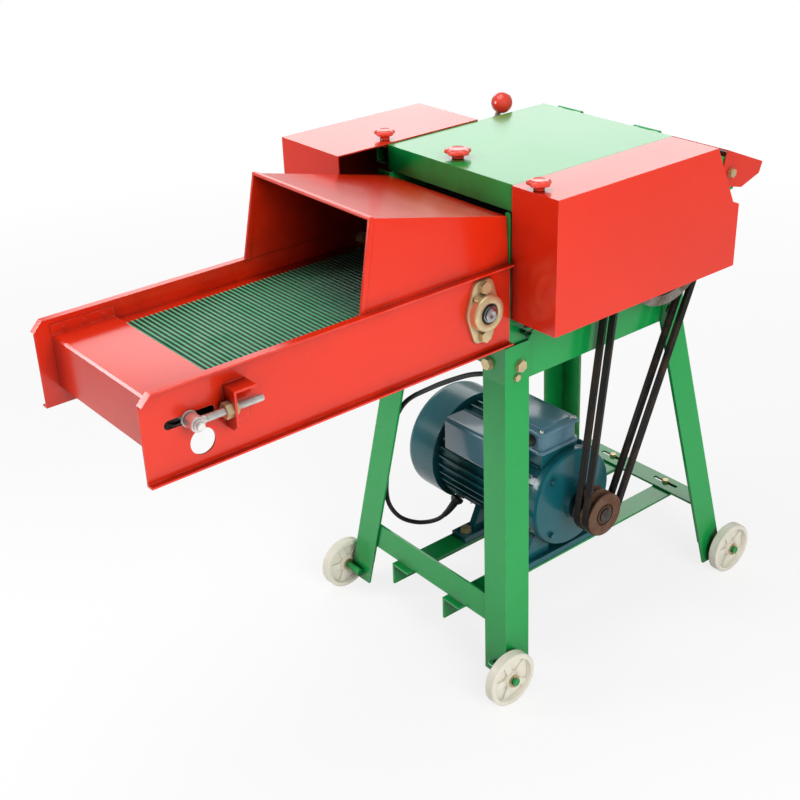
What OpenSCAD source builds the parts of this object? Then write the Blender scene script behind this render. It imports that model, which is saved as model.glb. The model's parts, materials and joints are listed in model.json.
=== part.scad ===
// Small drum straw shredder on four wheeled legs, with a belt feed table,
// toothed feed rollers, a three-knife drum and an electric motor slung below.
// X runs across the machine, the feed table points to -Y, Z is up from the floor.

/* [Housing] */
// Width over the two side plates
housing_w = 256; // [250:1:262]
// Thickness of the side plates
plate_t = 3; // [2.5:0.5:4]
// Height of the lid's top above the floor
lid_top_z = 802; // [798:1:808]
// Length of the lid
lid_l = 327; // [322:1:332]
// Width of the lid
lid_w = 270; // [268:1:276]
// Depth of the lid's front lip
lid_lip = 38; // [34:1:42]
// Thickness of the covers' sheet
sheet_t = 2; // [1.5:0.5:2.5]
// Lower edge of the side plates
plate_low_z = 497; // [494:1:500]

/* [Rotor] */
// Height of the main shaft
rotor_z = 652; // [650:1:654]
// Distance of the main shaft behind the housing front
rotor_y = 295; // [293:1:297]
// Radius of the knife edges
knife_r = 130; // [126:1:131]
// Inner radius of the rotor housing
scroll_r = 140; // [138:1:141]
// Number of knives
knives_n = 3; // [2:1:4]
// Radius of the main shaft
main_shaft_r = 15; // [14:0.5:16]
// Gap between the knife edges and the fixed blade
blade_gap = 1.5; // [1:0.5:3]

/* [Feed] */
// Height of the lower feed roller's shaft
feed_z = 635; // [634:0.5:636]
// Distance of the belt's drive roller in front of the housing
drive_roller_y = -60; // [-62:1:-58]
// Height of the drive roller's shaft
drive_z = 637; // [636:0.5:638]
// Radius of the belt's drive roller
belt_roller_r = 25; // [24:0.5:26]
// Thickness of the feed belt
feed_belt_t = 3; // [2:0.5:4]
// Width of the feed belt
feed_belt_w = 216; // [200:2:224]
// Number of ribs across the belt
belt_ribs_n = 96; // [80:1:110]
// Radius over the teeth of the feed rollers
feed_roller_r = 32; // [30:0.5:33]
// Distance between the two feed rollers' shafts at rest
feed_pitch = 73; // [73:0.5:74]
// Number of toothed ribs on a feed roller
roller_ribs_n = 10; // [8:1:12]
// Radius of the feed shafts
feed_shaft_r = 10; // [9:0.5:11]
// Lift of the floating roller at its stop, in degrees
arm_lift_deg = 5; // [3:1:5]

/* [Feed table] */
// Width over the table's two webs
tray_w = 271; // [269:1:274]
// Thickness of the webs
web_t = 2.5; // [2:0.5:3]
// Front end of the table
tray_front_y = -590; // [-600:5:-580]
// Lower edge of the webs
tray_low_z = 570; // [566:1:574]
// Upper edge of the webs
tray_top_z = 692; // [690:1:696]
// Width of the outward flanges
tray_flange = 9; // [7:1:11]
// Axle of the front roller
idler_y = -527; // [-530:1:-524]
// Length of the adjusting slot
slot_l = 69; // [60:1:75]
// Diameter of the hole below the slot
web_hole_d = 35; // [30:1:38]

/* [Covers] */
// Width of the belt guard
guard_w = 87; // [84:1:92]
// Width of the gear cover
gear_cover_w = 142; // [138:1:146]
// Front end of the gear cover
gear_cover_y0 = -93; // [-96:1:-93]
// Rear end of the gear cover
gear_cover_y1 = 182; // [178:1:186]
// Lower edge of the covers
cover_low_z = 606; // [600:1:610]
// Height of the hood's mouth
hood_top_z = 814; // [806:1:820]
// Front of the hood at its top
hood_y = -241; // [-246:1:-236]
// How far the mouth's foot stands in front of its top
hood_rake = 24; // [18:1:30]
// Rear height of the hood
hood_rear_z = 758; // [752:1:762]

/* [Legs and wheels] */
// Leg of the angle section
angle_w = 48; // [44:1:50]
// Thickness of the angle section
angle_t = 4; // [3:0.5:5]
// Distance between the feet's outer edges
foot_w = 391; // [380:1:396]
// Spread of the feet beyond the frame in front
foot_out = 54; // [48:1:58]
// Spread of the feet beyond the frame behind
foot_out_rear = 76; // [70:1:80]
// Diameter of the wheels
wheel_d = 90; // [86:2:96]
// Width of the wheels
wheel_w = 18; // [16:1:20]
// Distance between the wheels' middles
wheel_track = 420; // [416:1:428]
// Radius of the axle rods
axle_r = 6.5; // [5:0.5:7]
// Height of the braces
brace_z = 107; // [104:1:110]
// Size of the motor rails' angle
rail_w = 40; // [36:1:44]

/* [Drive] */
// Height of the motor shaft above its rails
motor_h = 112; // [111:1:114]
// Distance of the motor shaft behind the housing front
motor_y = 178; // [174:1:182]
// Radius of the motor's body
motor_r = 92; // [88:1:94]
// Outer face of the two pulleys
pulley_x = 170; // [168:1:172]
// Diameter of the motor pulley
motor_pulley_d = 74; // [70:1:78]
// Diameter of the large pulley
main_pulley_d = 200; // [196:1:206]
// Width of the pulleys
pulley_w = 36; // [36:1:38]
// Width of one drive belt
v_belt_w = 12.5; // [11:0.5:13]
// Thickness of one drive belt
v_belt_t = 8; // [7:0.5:9]

/* [Gears] */
// Tooth module
gear_m = 3; // [2.95:0.05:3]
// Teeth of the two feed rollers' gears
roller_teeth = 24; // [23:1:24]
// Teeth of the belt drive's gear
drive_teeth = 18; // [17:1:18]
// Teeth of the idler gear between them
idler_teeth = 30; // [30:1:32]
// Teeth of the gearbox's output gear
output_teeth = 16; // [14:1:16]
// Width of the gears
gear_w = 16; // [14:1:18]

/* [Cord] */
// Diameter of the power cord
cord_d = 8; // [7:0.5:9]

/* [Hidden] */
$fn = 48;

hx = housing_w / 2;              // outer face of the side plates
hi = hx - plate_t;               // inner face of the side plates
rear_leg_y = 383;                // rear face of the rear legs' upright part
guard_x = 135 + guard_w;         // outer face of the belt guard
gear_x = 135 + gear_cover_w;     // outer face of the gear cover
low_z = wheel_d / 2;             // height of the wheels' axles
spout_tip_y = 564;
shift_x = (gear_x - 226) / 2;
shift_y = -(tray_front_y + spout_tip_y) / 2;
fit = 0.05;                      // running clearance on the radius
groove_gap = 0.2;                // room at the sides of the drive belts
web_x = tray_w / 2;              // outer face of the table's webs
web_in = web_x - web_t;
idler_z = drive_z + 3;           // front axle of the feed belt
idler_r = belt_roller_r - 3;
upper_z = feed_z + feed_pitch;
feed_y = 92;                     // both feed rollers
arm_y = 172;                     // pivot of the floating arms
arm_z = 672;
spring_y = [25, 42];             // pressure springs on the right and on the left
spring_top_z = 700;
spring_low_z = 580;
box_z = 311;                     // underside of the terminal box
ball_at = [-165, 262, 810];      // red ball of the lever
lever_z = 728;                   // axis of the gearbox's lever
adjust_x = 150;                  // threaded rod of the belt adjuster
adjust_y = -478;                 // face its nut bears on
motor_z = brace_z - 2 + motor_h;
green = [0.10, 0.62, 0.30];
dark_green = [0.03, 0.34, 0.20];
red = [0.85, 0.20, 0.12];
gold = [0.86, 0.68, 0.24];
steel = [0.62, 0.63, 0.64];
grey = [0.36, 0.37, 0.39];
black = [0.07, 0.07, 0.08];
teal = [0.06, 0.33, 0.38];
cream = [0.88, 0.86, 0.78];
blade_y = rotor_y - sqrt(pow(knife_r + blade_gap, 2) - pow(16, 2));

// helpers
module place() {
  translate([shift_x, shift_y, 0]) children();
}
module box(x0, x1, y0, y1, z0, z1) {
  translate([x0, y0, z0]) cube([x1 - x0, y1 - y0, z1 - z0]);
}
module xcyl(r, x0, x1) {
  translate([x0, 0, 0]) rotate([0, 90, 0]) cylinder(h = x1 - x0, r = r);
}
module at(y, z) {
  translate([0, y, z]) children();
}
module xcyl_at(y, z, r, x0, x1) {
  at(y, z) xcyl(r, x0, x1);
}
module ycyl_at(x, z, r, y0, y1) {
  translate([x, y0, z]) rotate([-90, 0, 0]) cylinder(h = y1 - y0, r = r);
}
module xext(x0, x1) {
  translate([x0, 0, 0]) rotate([90, 0, 90]) linear_extrude(height = x1 - x0) children();
}
module at2(y, z) {
  translate([y, z]) children();
}
module both() {
  children();
  mirror([1, 0, 0]) children();
}
module xhex(y, z, af, x0, x1) {
  at(y, z) translate([x0, 0, 0]) rotate([0, 90, 0])
    cylinder(h = x1 - x0, r = af / sqrt(3), $fn = 6);
}
module yhex(x, z, af, y0, y1) {
  translate([x, y0, z]) rotate([-90, 0, 0])
    cylinder(h = y1 - y0, r = af / sqrt(3), $fn = 6);
}
// Ring between two radii along X
module xring(ro, ri, x0, x1) {
  difference() {
    xcyl(ro, x0, x1);
    xcyl(ri, x0 - 1, x1 + 1);
  }
}
function arc(cy, cz, r, a0, a1, n) =
  [for (i = [0:n]) let (a = a0 + (a1 - a0) * i / n) [cy + r * cos(a), cz + r * sin(a)]];
// Bolt along X: head on the xo side, nut on the xi side
module x_bolt(y, z, xi, xo, d, head = 0.6) {
  at(y, z) {
    xcyl(d / 2, xi - d * 0.95, xo + 0.5);
    xcyl(d, xo, xo + 0.9);
    xhex(0, 0, d * 1.65, xo + 0.9, xo + 0.9 + d * head);
    xhex(0, 0, d * 1.65, xi - d * 0.8, xi);
  }
}
module y_bolt(x, z, yo, yi, d) {
  ycyl_at(x, z, d / 2, yo - 0.5, yi + d + 1);
  ycyl_at(x, z, d, yo - 1.2, yo);
  yhex(x, z, d * 1.65, yo - 1.2 - d * 0.6, yo - 1.2);
  yhex(x, z, d * 1.65, yi, yi + d * 0.8);
}
module z_bolt(x, y, zi, zo, d) {
  translate([x, y, zi - d - 1]) cylinder(h = zo - zi + d + 1.5, r = d / 2);
  translate([x, y, zo]) cylinder(h = 1.2, r = d);
  translate([x, y, zo + 1.2]) cylinder(h = d * 0.6, r = d * 1.65 / sqrt(3), $fn = 6);
  translate([x, y, zi - d * 0.8]) cylinder(h = d * 0.8, r = d * 1.65 / sqrt(3), $fn = 6);
}

// bolts and their holes
leg_bolts = [[20, 524, 10], [13, 507, 6], [354, 513, 8], [345, 545, 8]];
beam_bolts = [97];
rail_x = [-82, 46];              // outer faces of the motor rails' upright flanges
rail_bolts_y = [-30, 470];
foot_x = [-60, 68];
foot_y = [motor_y - 95, motor_y + 95];
bearing_dz = 36;
module leg_holes() {
  for (b = leg_bolts) both() xcyl_at(b[0], b[1], b[2] / 2 + 0.3, hi - 1, hx + 6);
  for (x = beam_bolts) both() ycyl_at(x, 526, 5.3, -12, -2);
}
module rail_holes() {
  for (x = rail_x, y = rail_bolts_y)
    translate([x + 11, y, 95]) cylinder(h = 20, r = 3.3);
}
module foot_holes() {
  for (x = foot_x, y = foot_y)
    translate([x, y, 95]) cylinder(h = 30, r = 5.3);
}
bearing_at = [[drive_roller_y, drive_z, web_x, web_in], [feed_y, feed_z, hx, hi]];
module bearing_holes() {
  for (b = bearing_at) both() {
    xcyl_at(b[0], b[1], feed_shaft_r + 2, b[3] - 1, b[2] + 1);
    for (s = [-1, 1]) xcyl_at(b[0], b[1] + s * bearing_dz, 5.3, b[3] - 1, b[2] + 1);
  }
}
main_bolts = [[rotor_y, rotor_z + 50], [rotor_y, rotor_z - 50]];

// frame
module angle_profile() {
  polygon([[0, 0], [0, angle_w], [-angle_t, angle_w], [-angle_t, angle_t],
    [-angle_w, angle_t], [-angle_w, 0]]);
}
module leg_body(out, flange_top) {
  dx = foot_w / 2 - hx - angle_t;
  h = 500 - low_z;
  len = sqrt(dx * dx + out * out + h * h);
  translate([hx + angle_t, -10, 0]) {
    difference() {
      translate([0, 0, 500]) linear_extrude(height = 60) angle_profile();
      translate([-angle_w - 1, -1, flange_top]) cube([angle_w - angle_t + 1, angle_t + 1.5, 70]);
    }
    intersection() {
      translate([0, 0, 500]) rotate([-asin(out / len), -atan(dx / h), 0])
        translate([0, 0, -520]) linear_extrude(height = 545) angle_profile();
      box(-60, 90, -100, 70, 28, 500);
    }
    // axle rod welded across the outer face
    translate([0, -out - axle_r + 0.3, low_z])
      xcyl(axle_r, dx - 30, 226 - hx - angle_t);
  }
}
module front_leg() {
  difference() {
    leg_body(foot_out, 560);
    leg_holes();
    translate([224 - 2.5, -10 - foot_out - axle_r + 0.3, low_z - 20]) cylinder(h = 40, r = 1.7);
  }
}
module rear_leg() {
  difference() {
    translate([0, rear_leg_y - 10, 0]) mirror([0, 1, 0]) leg_body(foot_out_rear, 525);
    leg_holes();
    translate([224 - 2.5, rear_leg_y + foot_out_rear + axle_r - 0.3, low_z - 20])
      cylinder(h = 40, r = 1.7);
  }
}
module leg_front_right() {
  color(green) place() front_leg();
}
module leg_front_left() {
  color(green) place() mirror([1, 0, 0]) front_leg();
}
module leg_rear_right() {
  color(green) place() rear_leg();
}
module leg_rear_left() {
  color(green) place() mirror([1, 0, 0]) rear_leg();
}
module front_cross_beam() {
  color(dark_green) place() difference() {
    box(-hi, hi, -6, -3, 519, 569);
    leg_holes();
  }
}
module front_brace() {
  k = foot_out / (500 - low_z);
  function face(z) = -9.1 - k * (500 - z) + angle_t;
  z1 = brace_z - 2;
  color(dark_green) place() difference() {
    xext(-174, 174) polygon([[face(z1), z1], [face(z1 + 43), z1 + 43],
      [face(z1 + 43) + 4, z1 + 43], [face(z1 + 4) + 4, z1 + 4], [-11.5, z1 + 4], [-11.5, z1]]);
    rail_holes();
  }
}
module rear_brace() {
  y0 = rear_leg_y + foot_out_rear * (500 - brace_z - 2) / (500 - low_z);
  color([0.35, 0.75, 0.50]) place() difference() {
    box(-150, 150, y0, y0 + 40, brace_z - 2, brace_z + 2);
    for (x = [-97, 31]) {
      box(x, x + 52, 466.5, 473.5, 90, 120);
    }
  }
}
module motor_rails() {
  color(dark_green) place() difference() {
    for (x = rail_x) {
      box(x, x + 4, -64, 490, brace_z - 2 - rail_w, brace_z - 2);
      box(x, x + rail_w, -64, 490, brace_z - 6, brace_z - 2);
    }
    rail_holes();
    foot_holes();
  }
}

// housing
function plate_outline() = concat(
  [[-6, plate_low_z], [-6, 762], [3, 762], [3, lid_top_z - 5], [326, lid_top_z - 5],
   [345, 785], [475, 735], [488, 728], [495, 716], [495, 681], [443, 671]],
  arc(rotor_y, rotor_z, scroll_r + 3, 0, -56, 14),
  [[378.5, plate_low_z]]);
module side_plate(sy) {
  difference() {
    union() {
      xext(hi, hx) polygon(plate_outline());
      // front flange that carries the table's web
      box(hx - 0.5, 152, -6, -3, 565, 762);
    }
    leg_holes();
    bearing_holes();
    xcyl_at(rotor_y, rotor_z, main_shaft_r + 2, hi - 1, hx + 1);
    for (b = main_bolts) xcyl_at(b[0], b[1], 4.3, hi - 1, hx + 1);
    // opening for the floating roller's shaft
    at(0, 0) box(hi - 1, hx + 1, feed_y - feed_shaft_r - 4, feed_y + feed_shaft_r + 11,
      upper_z - feed_shaft_r - 4, upper_z + feed_shaft_r + 14);
    // spout pivot and arm pivot
    xcyl_at(482, 710, 4.1, hi - 1, hx + 1);
  }
  // pivot of the floating arm
  xcyl_at(arm_y, arm_z, 8, hx - 0.5, hx + 8);
  xcyl_at(arm_y, arm_z, 12, hx + 6.5, hx + 9);
  // lower spring lug
  xcyl_at(sy, spring_low_z - 4, 4, hx - 0.5, hx + 22);
}
// Bracket that the cover knobs screw into
module knob_bracket(x, y, top) {
  box(hx - 0.5, x + 12, y - 7, y + 10, 768, 771);
  box(x + 9, x + 12, y - 7, y + 10, 770, top);
  difference() {
    box(x - 12, x + 12, y - 7, y + 10, top - 3, top);
    translate([x, y, top - 10]) cylinder(h = 20, r = 4 + fit);
  }
}
module side_plate_right() {
  color(green) place() {
    side_plate(spring_y[0]);
    knob_bracket(172, 10, lid_top_z - sheet_t);
    // rear tab under the belt guard
    box(hx - 0.5, 137, 296, 316, 782, 785);
    box(135.5, 138.5, 296, 316, 782, lid_top_z - sheet_t);
  }
}
module side_plate_left() {
  color(dark_green) place() {
    mirror([1, 0, 0]) {
      side_plate(spring_y[1]);
      knob_bracket(156, 11, 804 - sheet_t);
      // stub pin of the idler gear
      xcyl_at(idler_gear_at[0], idler_gear_at[1], 9, hx - 0.5, 186);
      xcyl_at(idler_gear_at[0], idler_gear_at[1], 13, hx - 0.5, 158);
    }
  }
}
module rotor_housing() {
  o = scroll_r + 2;
  color(dark_green) place() {
    xext(-hi, hi) polygon(concat(
      arc(rotor_y, rotor_z, scroll_r, 190.5, 370, 40), [[500, 684], [500, 682]],
      arc(rotor_y, rotor_z, o, 369.5, 190.5, 40)));
    difference() {
      xext(-hi, hi) polygon([[331, 796], [345, 784.5], [453, 743], [453, 745.2],
        [345.6, 786.6], [333, 797], [331, 797]]);
      both() {
        at(332, 798) xcyl(6.5, 54, 67.9);
        at(332, 798) xcyl(6.5, 92.1, 106);
      }
    }
    // bar below the lid's front
    difference() {
      box(-hi, hi, 18, 40, lid_top_z - 12, lid_top_z - 6);
      translate([-11, 29, 780]) cylinder(h = 30, r = 6);
    }
    // fixed knuckles and pin of the lid hinge
    both() {
      at(332, 798) xcyl(3, 55, 105);
      at(332, 798) xcyl(5, 68, 92);
      box(68, 92, 331, 337, 791, 798);
    }
  }
}
module blade_bed() {
  color(grey) place() {
    difference() {
      box(-hi, hi, 126, 155, 612, 664);
      for (x = [-90, -30, 30, 90]) translate([x, 136, 600]) cylinder(h = 80, r = 3.3);
    }
    // throat plate between the feed belt and the lower roller
    box(-hi, hi, -22, 56, feed_z + 26, feed_z + 28.5);
    box(-hi, hi, -20, -16, feed_z, feed_z + 26.5);
  }
}
module fixed_blade() {
  color(steel) place() difference() {
    xext(-hi + 1, hi - 1) polygon([[110, 664], [blade_y - 4, 664], [blade_y, 670],
      [112, 670], [110, 667]]);
    for (x = [-90, -30, 30, 90]) translate([x, 136, 600]) cylinder(h = 80, r = 3.3);
  }
}

// feed table
module tray_web() {
  difference() {
    union() {
      box(web_in, web_x, tray_front_y, -6, tray_low_z, tray_top_z);
      box(web_in, web_x + tray_flange, tray_front_y, -6, tray_low_z, tray_low_z + web_t);
      xext(web_in, web_x + tray_flange) polygon([[tray_front_y + 14, tray_top_z - web_t],
        [tray_front_y + 14, tray_top_z], [-6, tray_top_z], [-6, tray_top_z - web_t]]);
      xext(web_in, web_x + tray_flange) polygon([[tray_front_y, tray_top_z - 14],
        [tray_front_y + 14, tray_top_z], [tray_front_y + 14, tray_top_z - web_t - 1],
        [tray_front_y + 2.5, tray_top_z - 14]]);
    }
    // corner rounded off at the front
    xext(web_in - 1, web_x + tray_flange + 1) polygon([[tray_front_y - 1, tray_top_z - 15],
      [tray_front_y - 1, tray_top_z + 1], [tray_front_y + 15, tray_top_z + 1]]);
    // adjusting slot
    at(0, idler_z) {
      box(web_in - 1, web_x + 1, idler_y - 27, idler_y - 27 + slot_l - 12, -6, 6);
      xcyl_at(idler_y - 27, 0, 6, web_in - 1, web_x + 1);
      xcyl_at(idler_y - 39 + slot_l, 0, 6, web_in - 1, web_x + 1);
    }
    xcyl_at(-511, 603, web_hole_d / 2, web_in - 1, web_x + 1);
    bearing_holes();
  }
  // bent bracket of the belt adjuster
  difference() {
    union() {
      box(web_x - 0.5, adjust_x + 12, adjust_y, adjust_y + 3, 612, 667);
      box(web_x - 0.5, adjust_x + 12, adjust_y, adjust_y + 32, 664, 667);
      box(web_x - 0.5, web_x + 2.5, adjust_y, adjust_y + 32, 612, 667);
    }
    ycyl_at(adjust_x, idler_z, 5.3, adjust_y - 1, adjust_y + 4);
    translate([adjust_x + 13, adjust_y - 1, 611]) rotate([0, -36, 0]) cube([30, 40, 14], center = true);
  }
}
module tray_side_right() {
  color(red) place() tray_web();
}
module tray_side_left() {
  color(red) place() mirror([1, 0, 0]) tray_web();
}
belt_gap = feed_belt_w / 2 + 1.5;
belt_in_z = drive_z + belt_roller_r + 0.3;
belt_out_z = belt_in_z + feed_belt_t;
module tray_deck() {
  cap_z = belt_out_z + 2.7;
  color(red) place() {
    difference() {
      both() box(belt_gap, web_in, -567, -24, belt_in_z - 0.8, belt_in_z + 1.7);
      both() box(belt_gap + 4, web_in + 1, drive_roller_y - 13, drive_roller_y + 13, 650, 680);
    }
    difference() {
      box(-web_in, web_in, idler_y + 34, drive_roller_y - 34, belt_in_z - 2.8, belt_in_z - 0.3);
      both() box(belt_gap, web_in + 1, -600, 0, belt_in_z - 0.8, belt_in_z + 5);
    }
    // cap over the front roller
    xext(-web_in, web_in) polygon([[-567, 596], [-565, 596], [-565, cap_z - 2], [-563, cap_z],
      [-476, cap_z], [-476, cap_z + 2], [-564, cap_z + 2], [-567, cap_z - 1]]);
    both() {
      box(web_in - 2, web_in, -567, -476, cap_z, cap_z + 16);
      box(belt_gap + 1, web_in, -565.5, -476, belt_in_z + 1.5, cap_z + 0.5);
      for (y = [-548, -520, -492])
        xcyl_at(y, cap_z + 9, 3, web_in - 2.6, web_in);
    }
  }
}
module feed_hood() {
  y0 = hood_y;
  y1 = hood_y - hood_rake;
  // corners of a shell side: mouth top, mouth foot, rear foot, rear top
  function corner(i, s, t) = i == 0 ? [s * (129 - t), y0 - 1, hood_top_z - t]
    : i == 1 ? [s * (133 - t), y1 - 1, tray_top_z]
    : i == 2 ? [s * (132.6 - t), -6, tray_top_z]
    : [s * (128 - t), -6, hood_rear_z - t];
  function skin(t) = [corner(0, 1, t), corner(1, 1, t), corner(2, 1, t), corner(3, 1, t),
    corner(0, -1, t), corner(1, -1, t), corner(2, -1, t), corner(3, -1, t)];
  module solid_of(t, e) {
    p = skin(t);
    hull() polyhedron([for (q = p) [q[0], q[1] < -100 ? q[1] - e : q[1] + e, q[2] == tray_top_z ? q[2] - e : q[2]]],
      [[0, 1, 2, 3], [7, 6, 5, 4], [0, 4, 5, 1], [1, 5, 6, 2], [2, 6, 7, 3], [3, 7, 4, 0]]);
  }
  color(red) place() difference() {
    union() {
      solid_of(0, 0);
      // lip round the mouth
      hull() {
        translate([0, 0, 0]) polyhedron([[131, y0 - 2, hood_top_z + 1.5], [135, y1 - 2, tray_top_z],
          [135, y1 + 3.5, tray_top_z], [131, y0 + 3.5, hood_top_z + 1.5],
          [-131, y0 - 2, hood_top_z + 1.5], [-135, y1 - 2, tray_top_z],
          [-135, y1 + 3.5, tray_top_z], [-131, y0 + 3.5, hood_top_z + 1.5]],
          [[0, 1, 2, 3], [7, 6, 5, 4], [0, 4, 5, 1], [1, 5, 6, 2], [2, 6, 7, 3], [3, 7, 4, 0]]);
      }
    }
    solid_of(2, 4);
  }
}

// feed belt
// Loop round the two rollers, its upper run level
function loop(r0, n) = let (
    c0 = [idler_y, idler_z], c1 = [drive_roller_y, drive_z],
    ra = r0 + idler_r, rb = r0 + belt_roller_r,
    k = 2 * atan2(idler_z - drive_z, drive_roller_y - idler_y))
  concat(
    [for (i = [0:n]) let (a = 90 + (180 - k) * i / n) [c0[0] + ra * cos(a), c0[1] + ra * sin(a)]],
    [for (i = [0:n]) let (a = 270 - k + (180 + k) * i / n) [c1[0] + rb * cos(a), c1[1] + rb * sin(a)]]);
module conveyor_belt() {
  span = drive_roller_y - idler_y;
  n = round(belt_ribs_n * 2 / 3);
  pitch = span / n;
  r0 = 0.3 + feed_belt_t;
  k = 2 * atan2(idler_z - drive_z, span);
  color([0.03, 0.28, 0.22]) place() xext(-feed_belt_w / 2, feed_belt_w / 2) difference() {
    union() {
      polygon(loop(r0, 26));
      // ribs of the two straight runs
      for (i = [0:n]) {
        translate([idler_y + pitch * i, belt_out_z])
          polygon([[-1.5, -0.5], [1.5, -0.5], [0.9, 1.4], [-0.9, 1.4]]);
        translate([idler_y, idler_z]) rotate(-k) translate([pitch * i * 0.9998, -idler_r - r0])
          polygon([[-0.9, -1.4], [0.9, -1.4], [1.5, 0.5], [-1.5, 0.5]]);
      }
      // ribs round the rollers
      for (i = [1:10]) translate([idler_y, idler_z]) rotate(i * (180 - k) / 11)
        translate([0, idler_r + r0]) polygon([[-1.5, -0.5], [1.5, -0.5], [0.9, 1.4], [-0.9, 1.4]]);
      for (i = [1:12]) translate([drive_roller_y, drive_z]) rotate(-i * (180 + k) / 13)
        translate([0, belt_roller_r + r0])
        polygon([[-1.5, -0.5], [1.5, -0.5], [0.9, 1.4], [-0.9, 1.4]]);
    }
    polygon(loop(0.3, 26));
  }
}
module idler_roller() {
  color(grey) place() at(idler_y, idler_z) {
    xring(idler_r, idler_r - 3, -108, 108);
    for (s = [-1, 1]) xring(idler_r - 2.5, 7 + fit, s * 100 - 4, s * 100 + 4);
  }
}
module take_up() {
  color(gold) place() {
    at(idler_y, idler_z) {
      xcyl(7, -128, 128);
      xcyl(5.5, -166, 166);
      both() {
        xcyl(11, web_x + 0.3, web_x + 3.3);
        xcyl(7, 159, 162);
      }
    }
    both() {
      // eye and threaded rod, with its two nuts on the bracket
      difference() {
        xcyl_at(idler_y, idler_z, 10, adjust_x - 9, adjust_x + 9);
        xcyl_at(idler_y, idler_z, 5.5, adjust_x - 10, adjust_x + 10);
      }
      ycyl_at(adjust_x, idler_z, 5, idler_y + 9, -432);
    }
  }
}

// rollers and gears
function inv(a) = tan(a) - a * PI / 180;
module gear2d(z, ha, hd = 1.5) {
  rp = gear_m * z / 2;
  rb = rp * cos(25);
  ro = rp + gear_m * ha;
  rr = rp - gear_m * hd;
  // half the tooth's angle at the pitch circle, less the backlash
  hp = 90 / z - 0.35 * 180 / (2 * PI * rp);
  n = 6;
  function half(r) = let (q = max(r, rb)) hp + (inv(25) - inv(acos(rb / q))) * 180 / PI;
  rs = [for (i = [0:n]) let (r0 = max(rb, rr + 0.8)) r0 + (ro - r0) * i / n];
  pts = [for (t = [0:z - 1]) each concat(
    [[rr, t * 360 / z - min(half(rs[0]) + 1.2, 180 / z - 0.6)]],
    [for (r = rs) [r, t * 360 / z - half(r)]],
    [for (i = [n:-1:0]) [rs[i], t * 360 / z + half(rs[i])]],
    [[rr, t * 360 / z + min(half(rs[0]) + 1.2, 180 / z - 0.6)]])];
  polygon([for (p = pts) [p[0] * cos(p[1]), p[0] * sin(p[1])]]);
}
gear_x0 = -164;
module gear(z, ha, phase) {
  xext(gear_x0 - gear_w, gear_x0) rotate(phase) gear2d(z, ha);
}
// Place of the idler gear, from its distances to the two gears it joins
mesh_a = gear_m * (drive_teeth + idler_teeth) / 2;
mesh_b = gear_m * (roller_teeth + idler_teeth) / 2;
gap_v = [feed_y - drive_roller_y, feed_z - drive_z];
mesh_u = (mesh_a * mesh_a - mesh_b * mesh_b + gap_v * gap_v) / (2 * norm(gap_v));
mesh_h = sqrt(mesh_a * mesh_a - mesh_u * mesh_u);
idler_gear_at = [drive_roller_y, drive_z] + mesh_u * gap_v / norm(gap_v)
  + mesh_h * [-gap_v[1], gap_v[0]] / norm(gap_v);
output_y = feed_y + gear_m * (roller_teeth + output_teeth) / 2;
// Phase that brings a tooth of gear b into a space of gear a; dir points from a to b
function mate(phase_a, z_a, dir, z_b) =
  let (u = (dir - phase_a) * z_a / 360) dir + 180 - 360 / z_b * (0.5 - (u - floor(u)));
function dir_to(a, b) = atan2(b[1] - a[1], b[0] - a[0]);
ph_drive = 0;
ph_idler = mate(ph_drive, drive_teeth, dir_to([drive_roller_y, drive_z], idler_gear_at),
  idler_teeth);
ph_low = mate(ph_idler, idler_teeth, dir_to(idler_gear_at, [feed_y, feed_z]), roller_teeth);
ph_up = mate(ph_low, roller_teeth, 90, roller_teeth);
ph_out = mate(ph_low, roller_teeth, 0, output_teeth);
module conveyor_drive_roller() {
  color(grey) place() at(drive_roller_y, drive_z) {
    xcyl(belt_roller_r, -108, 108);
    xcyl(feed_shaft_r, -184, 157);
    gear(drive_teeth, 1, ph_drive);
    xcyl(16, gear_x0 - gear_w - 2, gear_x0 + 3);
  }
}
module toothed_roller(ph) {
  difference() {
    union() {
      xcyl(feed_roller_r - 5, -115, 115);
      xext(-115, 115) for (i = [0:roller_ribs_n - 1]) rotate(i * 360 / roller_ribs_n)
        polygon([[feed_roller_r - 7, -3.5], [feed_roller_r, -1.2], [feed_roller_r, 1.2],
          [feed_roller_r - 7, 3.5]]);
    }
    // cuts that turn the ribs into rows of teeth
    for (x = [-100:20:100]) xring(feed_roller_r + 3, feed_roller_r - 4.8, x - 3, x + 3);
  }
  xcyl(feed_shaft_r, -184, 150);
  difference() {
    gear(roller_teeth, 1.25, ph);
    for (a = [30:60:330]) rotate([a, 0, 0]) translate([0, 23, 0]) xcyl(4.5, -190, -150);
  }
  xcyl(15, gear_x0 - gear_w - 2, gear_x0 + 3);
}
module lower_feed_roller() {
  color(grey) place() at(feed_y, feed_z) toothed_roller(ph_low);
}
module upper_feed_roller() {
  color(grey) place() at(feed_y, upper_z) toothed_roller(ph_up);
}
module idler_gear() {
  color(steel) place() at(idler_gear_at[0], idler_gear_at[1]) difference() {
    union() {
      gear(idler_teeth, 1, ph_idler);
      xcyl(17, gear_x0 - gear_w - 3, gear_x0 + 4);
    }
    xcyl(9 + fit, -200, -150);
    for (a = [0:60:300]) rotate([a, 0, 0]) translate([0, 29, 0]) xcyl(7, -190, -150);
  }
}
module output_gear() {
  color(steel) place() at(output_y, feed_z) {
    gear(output_teeth, 1, ph_out);
    xcyl(8, gear_x0 - gear_w - 4, -132);
    xcyl(13, gear_x0 - 1, gear_x0 + 6);
  }
}
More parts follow.
